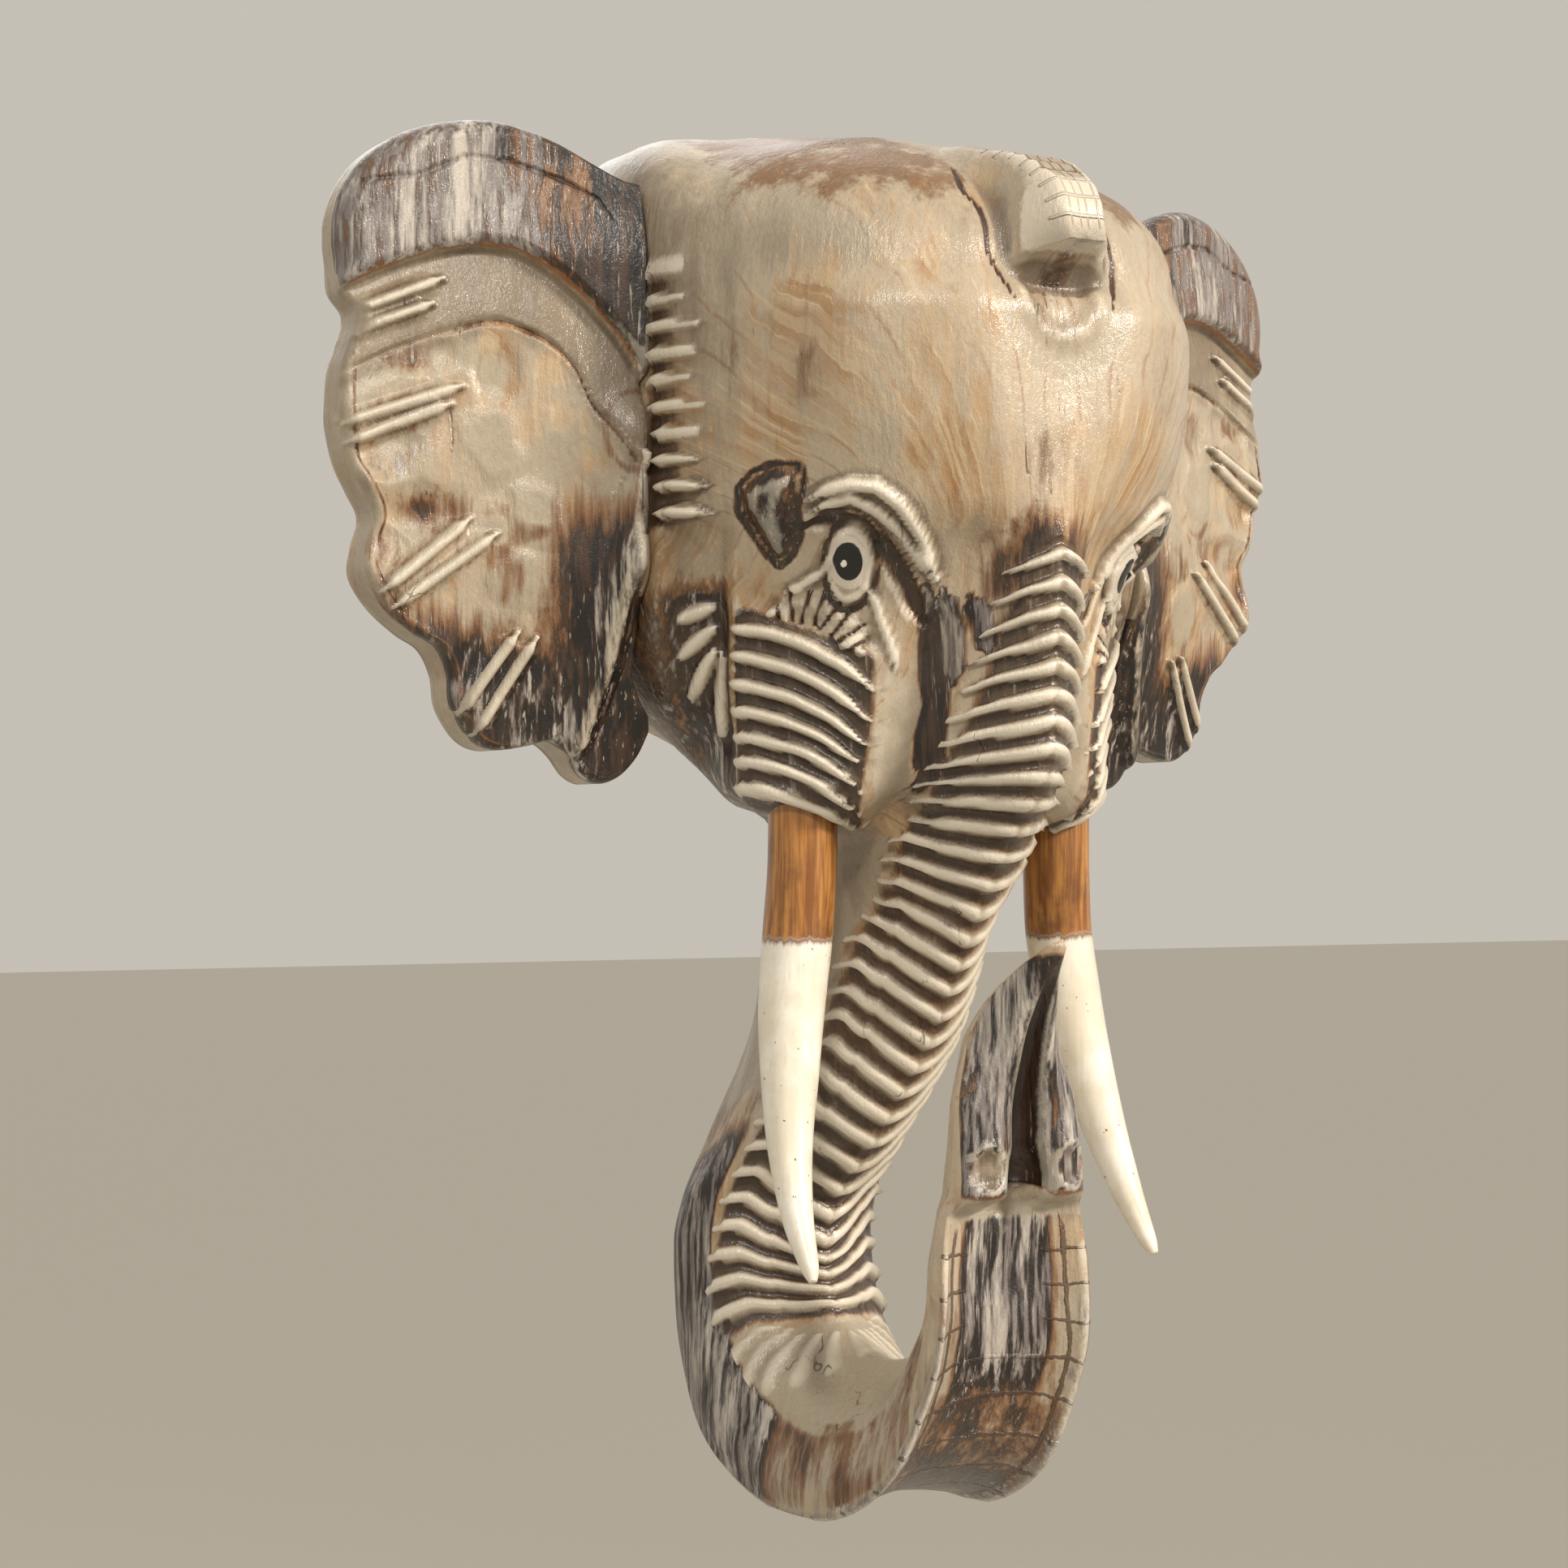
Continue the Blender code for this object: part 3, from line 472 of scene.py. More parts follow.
def hollows(relief, reach):
    """Millimetres by which each place lies below its neighbours a few rows and columns away."""
    total = np.zeros_like(relief)
    for step in reach:
        padded = np.pad(relief, ((step, step), (0, 0)), mode="edge")
        total += np.roll(relief, step, 1) + np.roll(relief, -step, 1)
        total += padded[2 * step:] + padded[:-2 * step]
    return total / (4 * len(reach)) - relief


def head_carving(s, w, row, where):
    """Relief in millimetres along the normal, and the masks for the finish and for painted shade and
    highlight, over the head and trunk.
    """
    u, q, _ = section(s, w)
    a = np.abs(w)
    side = np.abs(u)
    v = VIEW_SIN * q - VIEW_COS * side
    face = (s < FACE_END) & (a > 2.2)
    top = a > 3
    back = np.maximum(ramp(a, 1.0, 1.25), ramp(row, 478, 520))
    coarse = lumps(where, 26, 1)
    medium = lumps(where, 11, 2)
    patchy = lumps(where, 48, 11)

    # Crest: scored top face, steep flank, beak with a hollow under it and a collar round that
    lift = np.interp(s, [12, 22, 32, 44, 56, 68, 73, 78, 84], [0, 3, 9, 19, 26, 28, 18, 0, 0])
    flank = fade(side, 11, 25) * top
    crest = lift * flank - 2 * bump(s, 79, 7) * fade(side, 10, 20) * top
    collar_ring = np.where(top, np.hypot(side / 17, (s - 80) / 19), OUTSIDE)
    collar = bump(collar_ring, 1.04, 0.4) * ramp(s, 76, 84)
    scores = bump((s / 4.3) % 1, 0.5, 0.16) * (side < 12) * span(s, 18, 26, 62, 66) * top
    beak = bump(np.hypot(side / 13, (s - 68) / 13), 0, 1.1) * top
    radial = bump((np.arctan2(s - 74, side) * 7 / np.pi) % 1, 0.5, 0.2)
    radial = radial * fade(collar_ring, 0.8, 1.0) * ramp(s, 74, 80)
    crack = lay_stroke(side + 1.2 * medium, s + 2.5 * coarse, CROWN_CRACK, 1.5) * top
    relief = crest + 1.5 * collar - 1.0 * scores - 0.5 * radial - 1.3 * crack + 1.5 * beak * medium

    # Brow, lid, eye, tear lines, knot and pouch
    outer, inner, lid_line, shadow, inner_tear, outer_tear, pouch, trough_dark, strip = (
        lay_stroke(v, s, line, half) * face for line, half in FACE_STROKES
    )
    hollow = bump(np.hypot((v - 20) / 1.25, s - 180), 0, 24) * face
    eye = np.where(face, np.hypot((v - EYE[0]) / EYE_HALF[0], (s - EYE[1]) / EYE_HALF[1]), OUTSIDE)
    ball = np.sqrt(np.clip(1 - (eye / 1.15) ** 2, 0.0, 1.0))
    lid = bump(eye, 1.04, 0.24)
    knot = np.where(face, inside_by(v + 0.8 * coarse, s, KNOT), -OUTSIDE)
    knot_top = ramp(knot, -0.6, 7.5)
    along_pouch = nearest_on(v, s, POUCH)[1]
    pouch_scores = bump((along_pouch / 5.2) % 1, 0.5, 0.24) * (pouch > 0.12)
    relief = relief + 4.6 * outer + 4.0 * inner - 1.4 * lid_line - 3.4 * shadow - 3.6 * hollow + 5.0 * ball
    relief = relief + 1.5 * lid + 2.6 * inner_tear + 2.4 * outer_tear + 6.0 * knot_top
    relief = relief + 3.0 * pouch - 1.6 * pouch_scores

    # Temple hollow with its fan of leaf-shaped gouges, and the row of gouges along the ear joint
    temple = span(a, 2.15, 2.5, 2.95, 3.15) * span(s, 160, 182, 250, 268)
    fan = strongest(*(leaf(v, s, start, end, 3.9, 0.15) for start, end in TEMPLE_FAN)) * face
    by_ear = (s < FACE_END) & (a > 1.92)
    seam = 0.0
    for k in range(1, SEAM_GOUGES):
        drop = SEAM_TOP + SEAM_PITCH * k
        start = np.interp(drop, [SEAM_TOP, 160], [-63.5, -57])
        tail = (start + 21 + 3 * np.sin(2.1 * k), drop + 1.2)
        seam = np.maximum(seam, leaf(v, s, (start - 1, drop), tail, 4.3, 0.85))
    seam = seam * by_ear
    seam_strip = fade(v + 0.06 * (110 - s), -58, -47) * span(s, 58, 70, 164, 172) * by_ear
    relief = relief - 5 * temple + 3.4 * fan + 3.0 * seam - 1.8 * seam_strip * (1 - seam)

    # Cheek block with its ribs, the trough behind the trunk's root, and the ribs of the trunk
    phase = (row - FLUTE_FIRST) / FLUTE_PITCH + 0.14 * medium
    block = span(a, 3.05, 3.2, 4.25, 4.5) * span(row, 188, 196, 272, 280)
    across = np.clip((a - 3.08) / 1.27, 0.0, 1.0)
    bowed = phase + 0.55 * 4 * across * (1 - across) - 0.25
    few = (bowed > CHEEK_FLUTES[0] - 0.5) & (bowed < CHEEK_FLUTES[1] + 0.5)
    tapered = np.minimum(1.0, 0.25 + 5 * across) * np.minimum(1.0, 4.5 * (1 - across))
    cheek_ribs = tooth(bowed, 0.66 * tapered) * few * block
    trough = bump(a, 4.72, 0.32) * span(row, 178, 200, 270, 292)
    end = smooth(FLUTE_ENDS, row)
    many = (phase > -0.5) & (phase < FLUTES - 0.5)
    reach = np.clip((a - end + 0.25) / 0.75, 0.0, 1.0)
    trunk_ribs = tooth(phase, 0.68 * (1 + 0.3 * coarse) * reach ** 0.6) * many * (reach > 0)
    trunk_ribs = trunk_ribs * (1 - 0.3 * bump(a, 6.0, 0.1))
    relief = relief + CHEEK_RAISE * block - 4.5 * trough + RIB_RAISE * (cheek_ribs + trunk_ribs)
    relief = relief - 0.7 * many * ramp(reach, 0.2, 0.8)
    under = bump((phase + 0.5) % 1, 0.94, 0.22) * many * ramp(reach, 0.1, 0.6)
    between = (1 - trunk_ribs) * ramp(reach, 0.05, 0.5) * span(row, 170, 182, 500, 508)
    cheek_gap = (1 - cheek_ribs) * block * span(a, 3.12, 3.22, 4.22, 4.4) * ramp(row, 190, 197)

    # Curl: fan of gouges inside the bend, nostril dishes, furrow of the snout
    inner_run = (6 - a) * 13 + 2
    fan_turn = np.arctan2(row - 500, inner_run)
    fan_far = np.hypot(row - 500, inner_run)
    curl_fan = bump((fan_turn * 4.4) % 1, 0.5, 0.46) * span(fan_far, 14, 20, 38, 46)
    curl_fan = curl_fan * (row > 505) * (a > 3.6)
    nostril = np.hypot((side - 19) / 6.2, (s - 707.5) / 8.2) + 9 * (a > 1.1)
    dish = fade(nostril, 0.75, 1.05)
    relief = relief + 1.3 * curl_fan - 4.4 * bump(a, 0, 0.26) * span(row, 690, 704, 770, 784)
    relief = relief - 7.0 * bump(a, 0, 0.42) * bump(row, 700, 17)
    relief = relief + 1.6 * bump(a, 0.98, 0.16) * span(row, 470, 520, 670, 684)

    # Uneven knife work over all of it, none on the flat back
    drawn_out = where * np.array([1, 1, 0.6])
    facets = np.abs(lumps(drawn_out, 42, 8))
    relief = relief + 1.1 * coarse + 0.5 * medium - 3.0 * facets * (s < FACE_END)
    relief = relief * back - 2.4 * dish + 0.7 * bump(nostril, 1.12, 0.2)

    # Masks: what is painted, burnt, rubbed or left pale, and where shade and highlight are painted in
    front = ramp(a, 2.0, 2.4)
    low_side = span(row, 412, 436, 520 + 30 * coarse, 566) * span(a, 0.9, 1.2, 3.5, 3.9)
    on_head = fade(s, 285, FACE_END)
    under_temple = ramp(s, 178, 200) * fade(a, 3.0, 3.12) * ramp(a, 1.2, 1.7) * on_head
    dark_gap = np.interp(row, [170, 290, 325, 395, 425, 510], [0.95, 0.88, 0.5, 0.5, 0.95, 0.75])
    pit = hollows(relief, (1, 2, 3))
    channel = span(row, 588, 640, 686, 692) * fade(a, 0.5, 0.78)
    bricks = span(row, 420, 470, 640, 690) * fade(a, 1.15, 1.4)
    snout = span(row, 694, 699, 786, 792) * fade(a, 1.0, 1.25)
    ledge = bump(row, 689, 6) * fade(a, 1.0, 1.2)
    halo = span(row, 150, 176, 186, 196) * ramp(a, 4.9, 5.5)
    greys = strokes(v, s, TROUGH_GREYS, 6.5) * face

    # Burnt and scorched places. The same mask paints shade: the lid shadow, the hollow between the eye and
    # the trunk, the furrow down the middle of the snout and the right nostril dish are darkened as painted
    # shade
    burn = strongest(
        between * dark_gap, cheek_gap, 1.35 * trough_dark * (1 - strip), greys,
        0.95 * shadow, (0.72 + 0.2 * coarse) * ramp(knot, -0.4, 1.0),
        0.95 * bump(eye, 1.36, 0.2), 0.7 * under * dark_gap,
        temple * ramp(s, 188, 200) * (1 - fan), 0.62 * under_temple, 0.66 * seam_strip * (1 - seam),
        low_side, 0.95 * channel, 0.3 * bricks,
        (0.34 + 0.4 * medium) * span(row, 504, 530, 630, 660) * span(a, 1.1, 1.3, 3.5, 3.9),
        (0.62 + 0.5 * medium) * span(row, 540, 566, 612, 644) * fade(a, 0.85, 1.15),
        (0.74 + 0.3 * medium) * snout + 0.4 * ramp(row, 738, 770) * snout,
        0.95 * bump(a, 0.0, 0.24) * snout, 0.8 * bump(row, 762, 14) * fade(a, 1.0, 1.2),
        fade(nostril, 0.75, 1.1) * (w > 0), bump(a, 0.5, 0.45) * bump(row, 748, 16), 0.6 * halo,
        0.62 * beak * ramp(s, 58, 68), 0.75 * pouch_scores, crack, 0.6 * lid_line,
        0.55 * hollow * ramp(v, 24, 34) * ramp(s, 176, 186), 0.85 * bump(knot, -1.6, 2.6),
        0.7 * bump(a, 3.04, 0.06) * span(row, 190, 200, 270, 284), 0.45 * scores, 0.3 * radial,
        0.6 * bump(np.hypot(side / 10, (s - 77) / 6), 0, 1.0) * top,
    )
    dome_rub = ramp(side + 26 * coarse, 14, 34) * (0.66 + 0.75 * patchy)
    rub = strongest(
        fade(s, 34, 66) * fade(side, 84, 106) * (a > 2.2) * dome_rub,
        1.5 * between * (1 - dark_gap) * ramp(row, 290, 325),
        0.55 * span(row, 392, 412, 424, 444) * span(a, 0.9, 1.3, 3.4, 3.8),
        0.42 * span(row, 535, 560, 600, 650) * span(a, 1.2, 1.6, 3.9, 4.4),
        (0.46 + 0.5 * medium) * bump(side, 90, 26) * bump(s, 104, 36) * front, 0.5 * seam_strip,
        (0.22 + 0.5 * coarse) * front * on_head * bump(s, 128, 60),
        0.4 * span(row, 590, 610, 630, 660) * fade(a, 0.8, 1.0),
    )
    grey = strongest(
        0.9 * greys, 0.42 * ramp(knot, 1.5, 7), 0.75 * low_side, 0.72 * snout * ramp(a, 0.1, 0.4),
        0.7 * channel, 0.7 * beak * ramp(s, 58, 68), 0.35 * between * dark_gap, 0.3 * cheek_gap,
        0.75 * bricks * ramp(a, 0.7, 0.9), 0.45 * under_temple,
    )
    pale = strongest(
        ramp(strongest(trunk_ribs, cheek_ribs), 0.08, 0.5), ramp(fan, 0.1, 0.4), ramp(seam, 0.15, 0.5),
        ramp(strongest(outer, inner, inner_tear, outer_tear), 0.1, 0.5), 0.7 * ramp(strip, 0.1, 0.6),
        # Painted highlight along the lower lip of each trunk flute
        0.40 * bump((phase + 0.5) % 1, 0.86, 0.24) * many * ramp(reach, 0.2, 0.7),
        0.85 * fade(eye, 1.1, 1.35), 0.8 * ramp(curl_fan, 0.1, 0.5), fade(nostril, 0.8, 1.0) * (w < 0),
        0.7 * ledge,
    )
    wash = strongest(
        0.55 * on_head * fade(s, 60, 100) * ramp(a, 1.0, 2.0),
        0.75 * bump(s, 60, 40) * ramp(side, 84, 104) * (a > 2), 0.5 * collar,
        0.6 * span(collar_ring, 0.5, 1.2, 1.8, 2.2), 0.8 * pouch,
        0.7 * span(row, 280, 300, 400, 420) * span(a, 1.0, 1.4, end - 0.3, end),
        0.75 * span(row, 504, 512, 560, 590) * ramp(a, 3.4, 4.2), 0.7 * ledge,
        0.9 * bricks * ramp(a, 0.5, 0.7),
        0.8 * span(row, 505, 545, 625, 655) * ramp(a, 1.0, 1.2) * (0.85 + 0.7 * medium),
        0.42 * front * on_head * bump(s, 135, 50), 0.6 * temple * fade(s, 186, 200), 0.5 * seam_strip,
    )
    edge = strongest(
        0.62 * bump(knot, 1.4, 2.2) * (s < 166),
        0.8 * bump(side - 0.8 * medium, 12, 2.2) * span(s, 26, 34, 70, 74) * top,
        0.8 * bump(s, 70, 3.0) * (side < 12) * top, 0.6 * bump(a, 1.0, 0.1) * ramp(row, 440, 500),
        0.9 * bump(nostril, 0.98, 0.16), 0.5 * lid_line, 0.6 * bump(a, 0.26, 0.08) * snout,
        0.8 * bump(a, 1.04, 0.07) * ramp(row, 600, 660), 0.8 * bump(row, 697, 3) * fade(a, 0.9, 1.1),
    )
    # Painted shade on the upper side of each trunk flute and cheek rib. The same mask also darkens patches
    # elsewhere on the head and trunk
    upper_shade = fade((phase + 0.5) % 1, 0.2, 0.52) * many * ramp(reach, 0.1, 0.5)
    cheek_upper_shade = fade((bowed + 0.5) % 1, 0.2, 0.5) * few * block
    soil = strongest(
        (0.75 + 0.5 * medium) * upper_shade, (0.62 + 0.5 * medium) * cheek_upper_shade,
        0.4 * ramp(outer + inner, 0.0, 0.3) * ramp(v, 24, 40),
        0.25 * span(row, 520, 560, 640, 680) * fade(a, 1.1, 1.5), 0.5 * between, 0.45 * cheek_gap,
        0.6 * bump(side, 112, 22) * on_head * (a < 3.2), 0.5 * fade(s, 20, 60) * ramp(coarse, -0.15, 0.3),
        0.5 * ramp(a, 3.2, 3.9) * bump(row, 282, 26), 0.35 * ramp(coarse, 0.0, 0.4) * on_head,
        0.45 * span(row, 285, 330, 420, 450) * fade(a, end - 0.6, end),
        0.5 * bump(collar_ring, 0.9, 0.5),
    )
    spread = side / np.clip(1.08 - s / 215, 0.3, 1.1)
    straight = np.hypot(where[..., 0], where[..., 1] + 80) + 0.1 * where[..., 2]
    on_back = fade(a, 1.9, 2.1)
    straight = straight + (3.2 * where[..., 0] + 400 - straight) * on_back
    grain = spread + (straight - spread) * np.maximum(ramp(s, 200, 290), on_back)
    grain = grain + 26 * lumps(drawn_out, 45, 3)
    scored = strongest(0.9 * (side < 15) * span(s, 26, 34, 60, 66) * top, 0.9 * pouch)
    coursed = np.maximum(bump(a, 0.82, 0.42), (a < 1) * span(row, 548, 570, 616, 640))
    kv, ks = v - PUPIL[0], s - PUPIL[1]
    pupil = np.hypot((0.95 * kv - 0.3 * ks) / 5.3, (0.3 * kv + 0.95 * ks) / 6.7)
    glint = np.hypot(kv + 1.5, ks - 0.6) / 1.35
    masks = {
        "burn": burn, "rub": rub, "grey": grey, "pale": pale, "wash": wash, "amber": edge, "soil": soil,
        "grain": grain, "pit": np.clip(pit / 1.1, -1, 1) * back, "path": s, "about": a, "side": side,
        "scored": scored, "lines": np.where(pouch > 0.02, along_pouch * 0.85, s),
        "bricks": coursed * span(row, 470, 530, 672, 690),
        "pupil": np.where(face & (v > -10), np.clip(2 - pupil, 0, 2), 0),
        "glint": np.where(face, np.clip(2 - glint, 0, 2), 0),
    }
    return relief, masks


def joined(*stretches):
    """Marks evenly spaced in each of several stretches: first mark, last mark and how many."""
    return np.concatenate([np.linspace(*stretch) for stretch in stretches])


def head_surface():
    """Carved surface of the head and trunk: the plain section pushed out along its normal by the relief."""
    dome = DOME * (1 - np.sqrt(1 - joined((0.02, 0.5, 10), (0.507, 0.999, 42)) ** 2))
    rows = joined(
        (73.5, 138, 30), (139, 232, 92), (233.8, 505, 130), (507, 560, 26), (563.5, 686, 32),
        (687.5, 718, 20), (720, 791.6, 28),
    )
    half = joined((0.08, 0.98, 12), (1.08, 1.9, 6), (2.0, 2.95, 20), (2.99, 4.6, 46), (4.64, 5.965, 35))
    places = np.concatenate([-half[::-1], [0], half, [6]])
    row, w = np.meshgrid(np.concatenate([dome, rows]), places, indexing="ij")
    s = row - chevron(row, w)
    base = plain(s, w)
    ds = plain(s + 0.4, w) - plain(np.maximum(s - 0.4, 0.01), w)
    dw = plain(s, w + 0.01) - plain(s, w - 0.01)
    normal = np.cross(dw, ds)
    normal = normal / np.maximum(np.linalg.norm(normal, axis=-1, keepdims=True), 1e-9)
    relief, masks = head_carving(s, w, row, base)
    rings = base + normal * relief[..., None]
    rings[..., 1] = np.minimum(rings[..., 1], 0.0)
    rings[..., 2] = np.clip(rings[..., 2], LOWEST, HIGHEST)
    return rings, masks, plain(np.array([0.01, PATH_END]), np.zeros(2))


EAR_RIM_LINE = [
    (11.7, 47), (15.7, 39), (27.7, 32), (47.7, 25), (63.7, 24), (79.7, 32), (103.7, 35), (109.7, 47),
    (107, 73),
]
# Hollows on the ear's field: distance out, drop, and half their width and height
EAR_SCALLOPS = [(53.7, 133, 15, 19), (38.7, 163, 13, 17), (44.7, 190, 16, 20)]
EAR_DENTS = [(83.7, 102, 20, 8), (90, 141, 12, 10), (76, 161, 24, 11), (92, 176, 9, 12), (52, 108, 9, 14)]
EAR_ROWS, EAR_COLUMNS, EAR_WALLS, EAR_BACKS = 560, 120, 7, 18


def nearest_spot(out, drop, spots):
    """Distance from the nearest of several ovals, 1 on its edge."""
    return np.min([np.hypot((out - o) / wide, (drop - d) / high) for o, d, wide, high in spots], axis=0)


def ear_surface(hand):
    """Ear plank as closed rings: out over the carved face, down the edge and home over the plain back."""
    marks = np.linspace(0, 1, EAR_ROWS)
    face = np.sin(np.linspace(0, 0.5 * np.pi, EAR_COLUMNS)) ** 0.95
    b = np.concatenate([face, np.ones(EAR_WALLS - 1), np.linspace(1, 0, EAR_BACKS)])
    down = np.concatenate([np.zeros(EAR_COLUMNS), np.linspace(0, 1, EAR_WALLS)[1:], np.ones(EAR_BACKS)])
    a, bb = np.meshgrid(marks, b, indexing="ij")
    out, drop, edge = ear_plan(a, bb)
    front, back = ear_depths(out, drop, edge)
    where = np.stack([hand * (JOINT_HALF + FIT + out), -front, CROWN - drop], axis=-1)
    coarse = lumps(where, 24, 4)
    medium = lumps(where, 9, 5)
    top = smooth(GROOVE_TOP, out)
    low = smooth(GROOVE_LOW, out)
    band = ramp(drop, top + 1.5, top - 1.5)
    groove = span(drop, top - 1, top + 1.5, low - 1, low + 1.5)
    field = ramp(drop, low - 1, low + 2)
    ribs = strokes(out, drop, EAR_RIBS, 2.6)
    rim_line = lay_stroke(out, drop, EAR_RIM_LINE, 1.3) * band
    fold = lay_stroke(out, drop, EAR_FOLD, 4.5)
    lobe = np.minimum(np.hypot(out - 2, (drop - 129) / 1.3) / 11, np.hypot(out - 2, (drop - 182) / 1.5) / 8)
    scallop = nearest_spot(out, drop, EAR_SCALLOPS) + 0.5 * medium
    dents = nearest_spot(out, drop, EAR_DENTS) + 0.5 * medium
    inside = ramp(edge, 0.5, 6)
    relief = 2.4 * ribs + 1.6 * fold - 1.0 * rim_line + 0.9 * coarse + 0.5 * medium
    relief = relief - 1.8 * fade(dents, 0.4, 1.2) * field + 1.2 * fade(scallop, 0.5, 1.0) * field
    relief = relief - 1.2 * bump(drop, low + 0.5, 2.2) - 2.0 * np.abs(lumps(where, 34, 9)) * field
    pit = hollows(relief * inside + 0.55 * front, (1, 2, 3))
    depth = (front + relief * inside) * (1 - down) + back * down
    rings = np.stack([hand * np.minimum(JOINT_HALF + FIT + out, WIDEST), -depth, CROWN - drop], axis=-1)

    # What is burnt, rubbed, pale or dirty on the face, with painted shade round the ribs and in the dents,
    # and what the edge and the back have of each
    low_dark = ramp(drop + 0.25 * out, 196, 256) * ramp(out, 0, 16)
    inner_dark = fade(out, 12, 52) * ramp(drop, 128, 190) * ramp(out, -2, 8)
    burn = strongest(
        0.62 * band, 0.9 * band * fade(out, 14, 26), 0.75 * band * bump(out, 48, 26) * fade(drop, 24, 30),
        1.1 * low_dark * field, 0.95 * inner_dark * field,
        # Painted shade: the dents of the field darkened towards brown
        (0.36 + 0.5 * medium) * fade(dents, 0.2, 1.5) * field,
        0.34 * bump(out, 66, 40) * bump(drop, 150, 30) * field * ramp(coarse, -0.2, 0.3),
        0.8 * rim_line, 0.5 * bump(drop, low + 0.8, 3.0) * fade(out, 60, 90), 0.45 * bump(lobe, 1.1, 0.24),
        # Painted shade: a brown band round each rib
        0.42 * strokes(out, drop, EAR_RIBS, 6.5) * (1 - ribs) * ramp(edge, 3, 6),
        0.5 * bump(edge, 4.2, 1.6) * field,
        0.5 * bump(out, 40, 34) * bump(drop, 176, 44) * field * ramp(medium, -0.1, 0.35),
        0.8 * fade(out, 8, 20) * ramp(drop, 196, 214),
        0.7 * fade(out, 0, 7) * (lobe > 1) * ramp(drop, 100, 140),
    )
    grey = strongest(
        0.8 * band * ramp(out, 26, 40), 0.35 * groove, 0.55 * low_dark, 0.4 * inner_dark,
        0.6 * bump(out, 90, 20) * bump(drop, 96, 14) * field,
        0.55 * bump(out, 86, 16) * bump(drop, 143, 13) * field, 0.4 * fade(lobe, 0.7, 1.1),
    )
    rub = strongest(
        0.4 * fade(dents, 0.3, 1.6) * field,
        0.42 * field * bump(drop, 160, 60) * fade(np.abs(scallop - 1.0), 0.0, 0.3),
        0.5 * bump(out, 30, 14) * bump(drop, 172, 34) * field,
    )
    pale = strongest(ramp(ribs, 0.1, 0.5), 0.42 * ramp(fold, 0.3, 0.8) * ramp(drop, 150, 170))
    wash = strongest(
        0.95 * groove, 0.85 * fade(scallop, 0.3, 1.3) * field, (0.5 - 0.7 * medium) * field,
        0.6 * ramp(out, 88, 104) * field, 0.5 * ramp(out, 70, 84) * band, 0.6 * fade(edge, 2.5, 4) * field,
        0.8 * fade(edge, 10, 16) * band * ramp(out, 70, 84), 0.5 * fade(edge, 9, 14) * band,
        0.8 * fade(lobe, 0.8, 1.05), 0.62 * fade(np.abs(drop - low - 8), 4, 12) * ramp(out, 70, 90),
    )
    amber = strongest(
        0.95 * bump(drop, top, 1.7) * ramp(edge, 1, 3),
        0.75 * bump(drop, low + 1.0, 1.8) * fade(out, 50, 70),
        0.6 * bump(edge, 3.2, 1.6) * (1 - band * 0.4), 0.5 * bump(scallop, 1.0, 0.16) * field,
    )
    # Darker in the groove under the rim band, most near the joint, and in patches on the field and along
    # the edge
    soil = strongest(
        0.85 * groove * (1 - 0.45 * ramp(out, 56, 96)), 0.3 * field * ramp(coarse, -0.1, 0.35),
        0.5 * fade(edge, 2, 5) * ramp(medium, -0.1, 0.3), 0.5 * bump(drop, low + 4, 7) * field,
    )
    masks = {key: np.where(down < 0.01, on_face, elsewhere) for key, on_face, elsewhere in (
        ("burn", burn, 0.12), ("rub", rub, 0.25), ("grey", grey, 0.0), ("pale", pale, 0.0),
        ("wash", wash, 0.55), ("amber", amber, 0.0), ("soil", soil, 0.3), ("pit", np.clip(pit, -1, 1), 0.0),
    )}
    grain = np.hypot(where[..., 0] - hand * 196, 2.4 * (where[..., 1] + 4)) * 0.8
    masks["grain"] = grain + 0.55 * where[..., 2] + 30 * lumps(where, 48, 6)
    masks["path"] = drop
    return rings, masks


def closed_rings(name, rings, masks, ends, material, flip):
    """Closed mesh from rings of equal count, fanned to a point at each end; masks become attributes."""
    rows, count = rings.shape[:2]
    points = np.concatenate([rings.reshape(-1, 3), ends]) * MM
    i, j = np.meshgrid(np.arange(rows - 1), np.arange(count), indexing="ij")
    here = i * count
    k = (j + 1) % count
    quads = np.stack([here + j, here + count + j, here + count + k, here + k], axis=-1).reshape(-1, 4)
    j = np.arange(count)
    k = (j + 1) % count
    last = (rows - 1) * count
    start = np.stack([np.full(count, rows * count), j, k], axis=-1)
    finish = np.stack([np.full(count, rows * count + 1), last + k, last + j], axis=-1)
    fans = np.concatenate([start, finish])
    if flip:
        quads = quads[:, ::-1]
        fans = fans[:, ::-1]
    mesh = bpy.data.meshes.new(name)
    mesh.from_pydata(points.tolist(), [], quads.tolist() + fans.tolist())
    mesh.update()
    mesh.shade_smooth()
    for key, values in masks.items():
        flat = np.append(values, [values[0].mean(), values[-1].mean()]).astype(np.float32)
        mesh.attributes.new(key, "FLOAT", "POINT").data.foreach_set("value", flat)
    mesh.materials.append(material)
    obj = bpy.data.objects.new(name, mesh)
    bpy.context.scene.collection.objects.link(obj)
    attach(obj, "root")
    return obj


def linear(code):
    """sRGB hex to linear RGBA."""
    c = np.array([int(code[i:i + 2], 16) for i in (1, 3, 5)]) / 255.0
    c = np.where(c <= 0.04045, c / 12.92, ((c + 0.055) / 1.055) ** 2.4)
    return (*c.tolist(), 1.0)


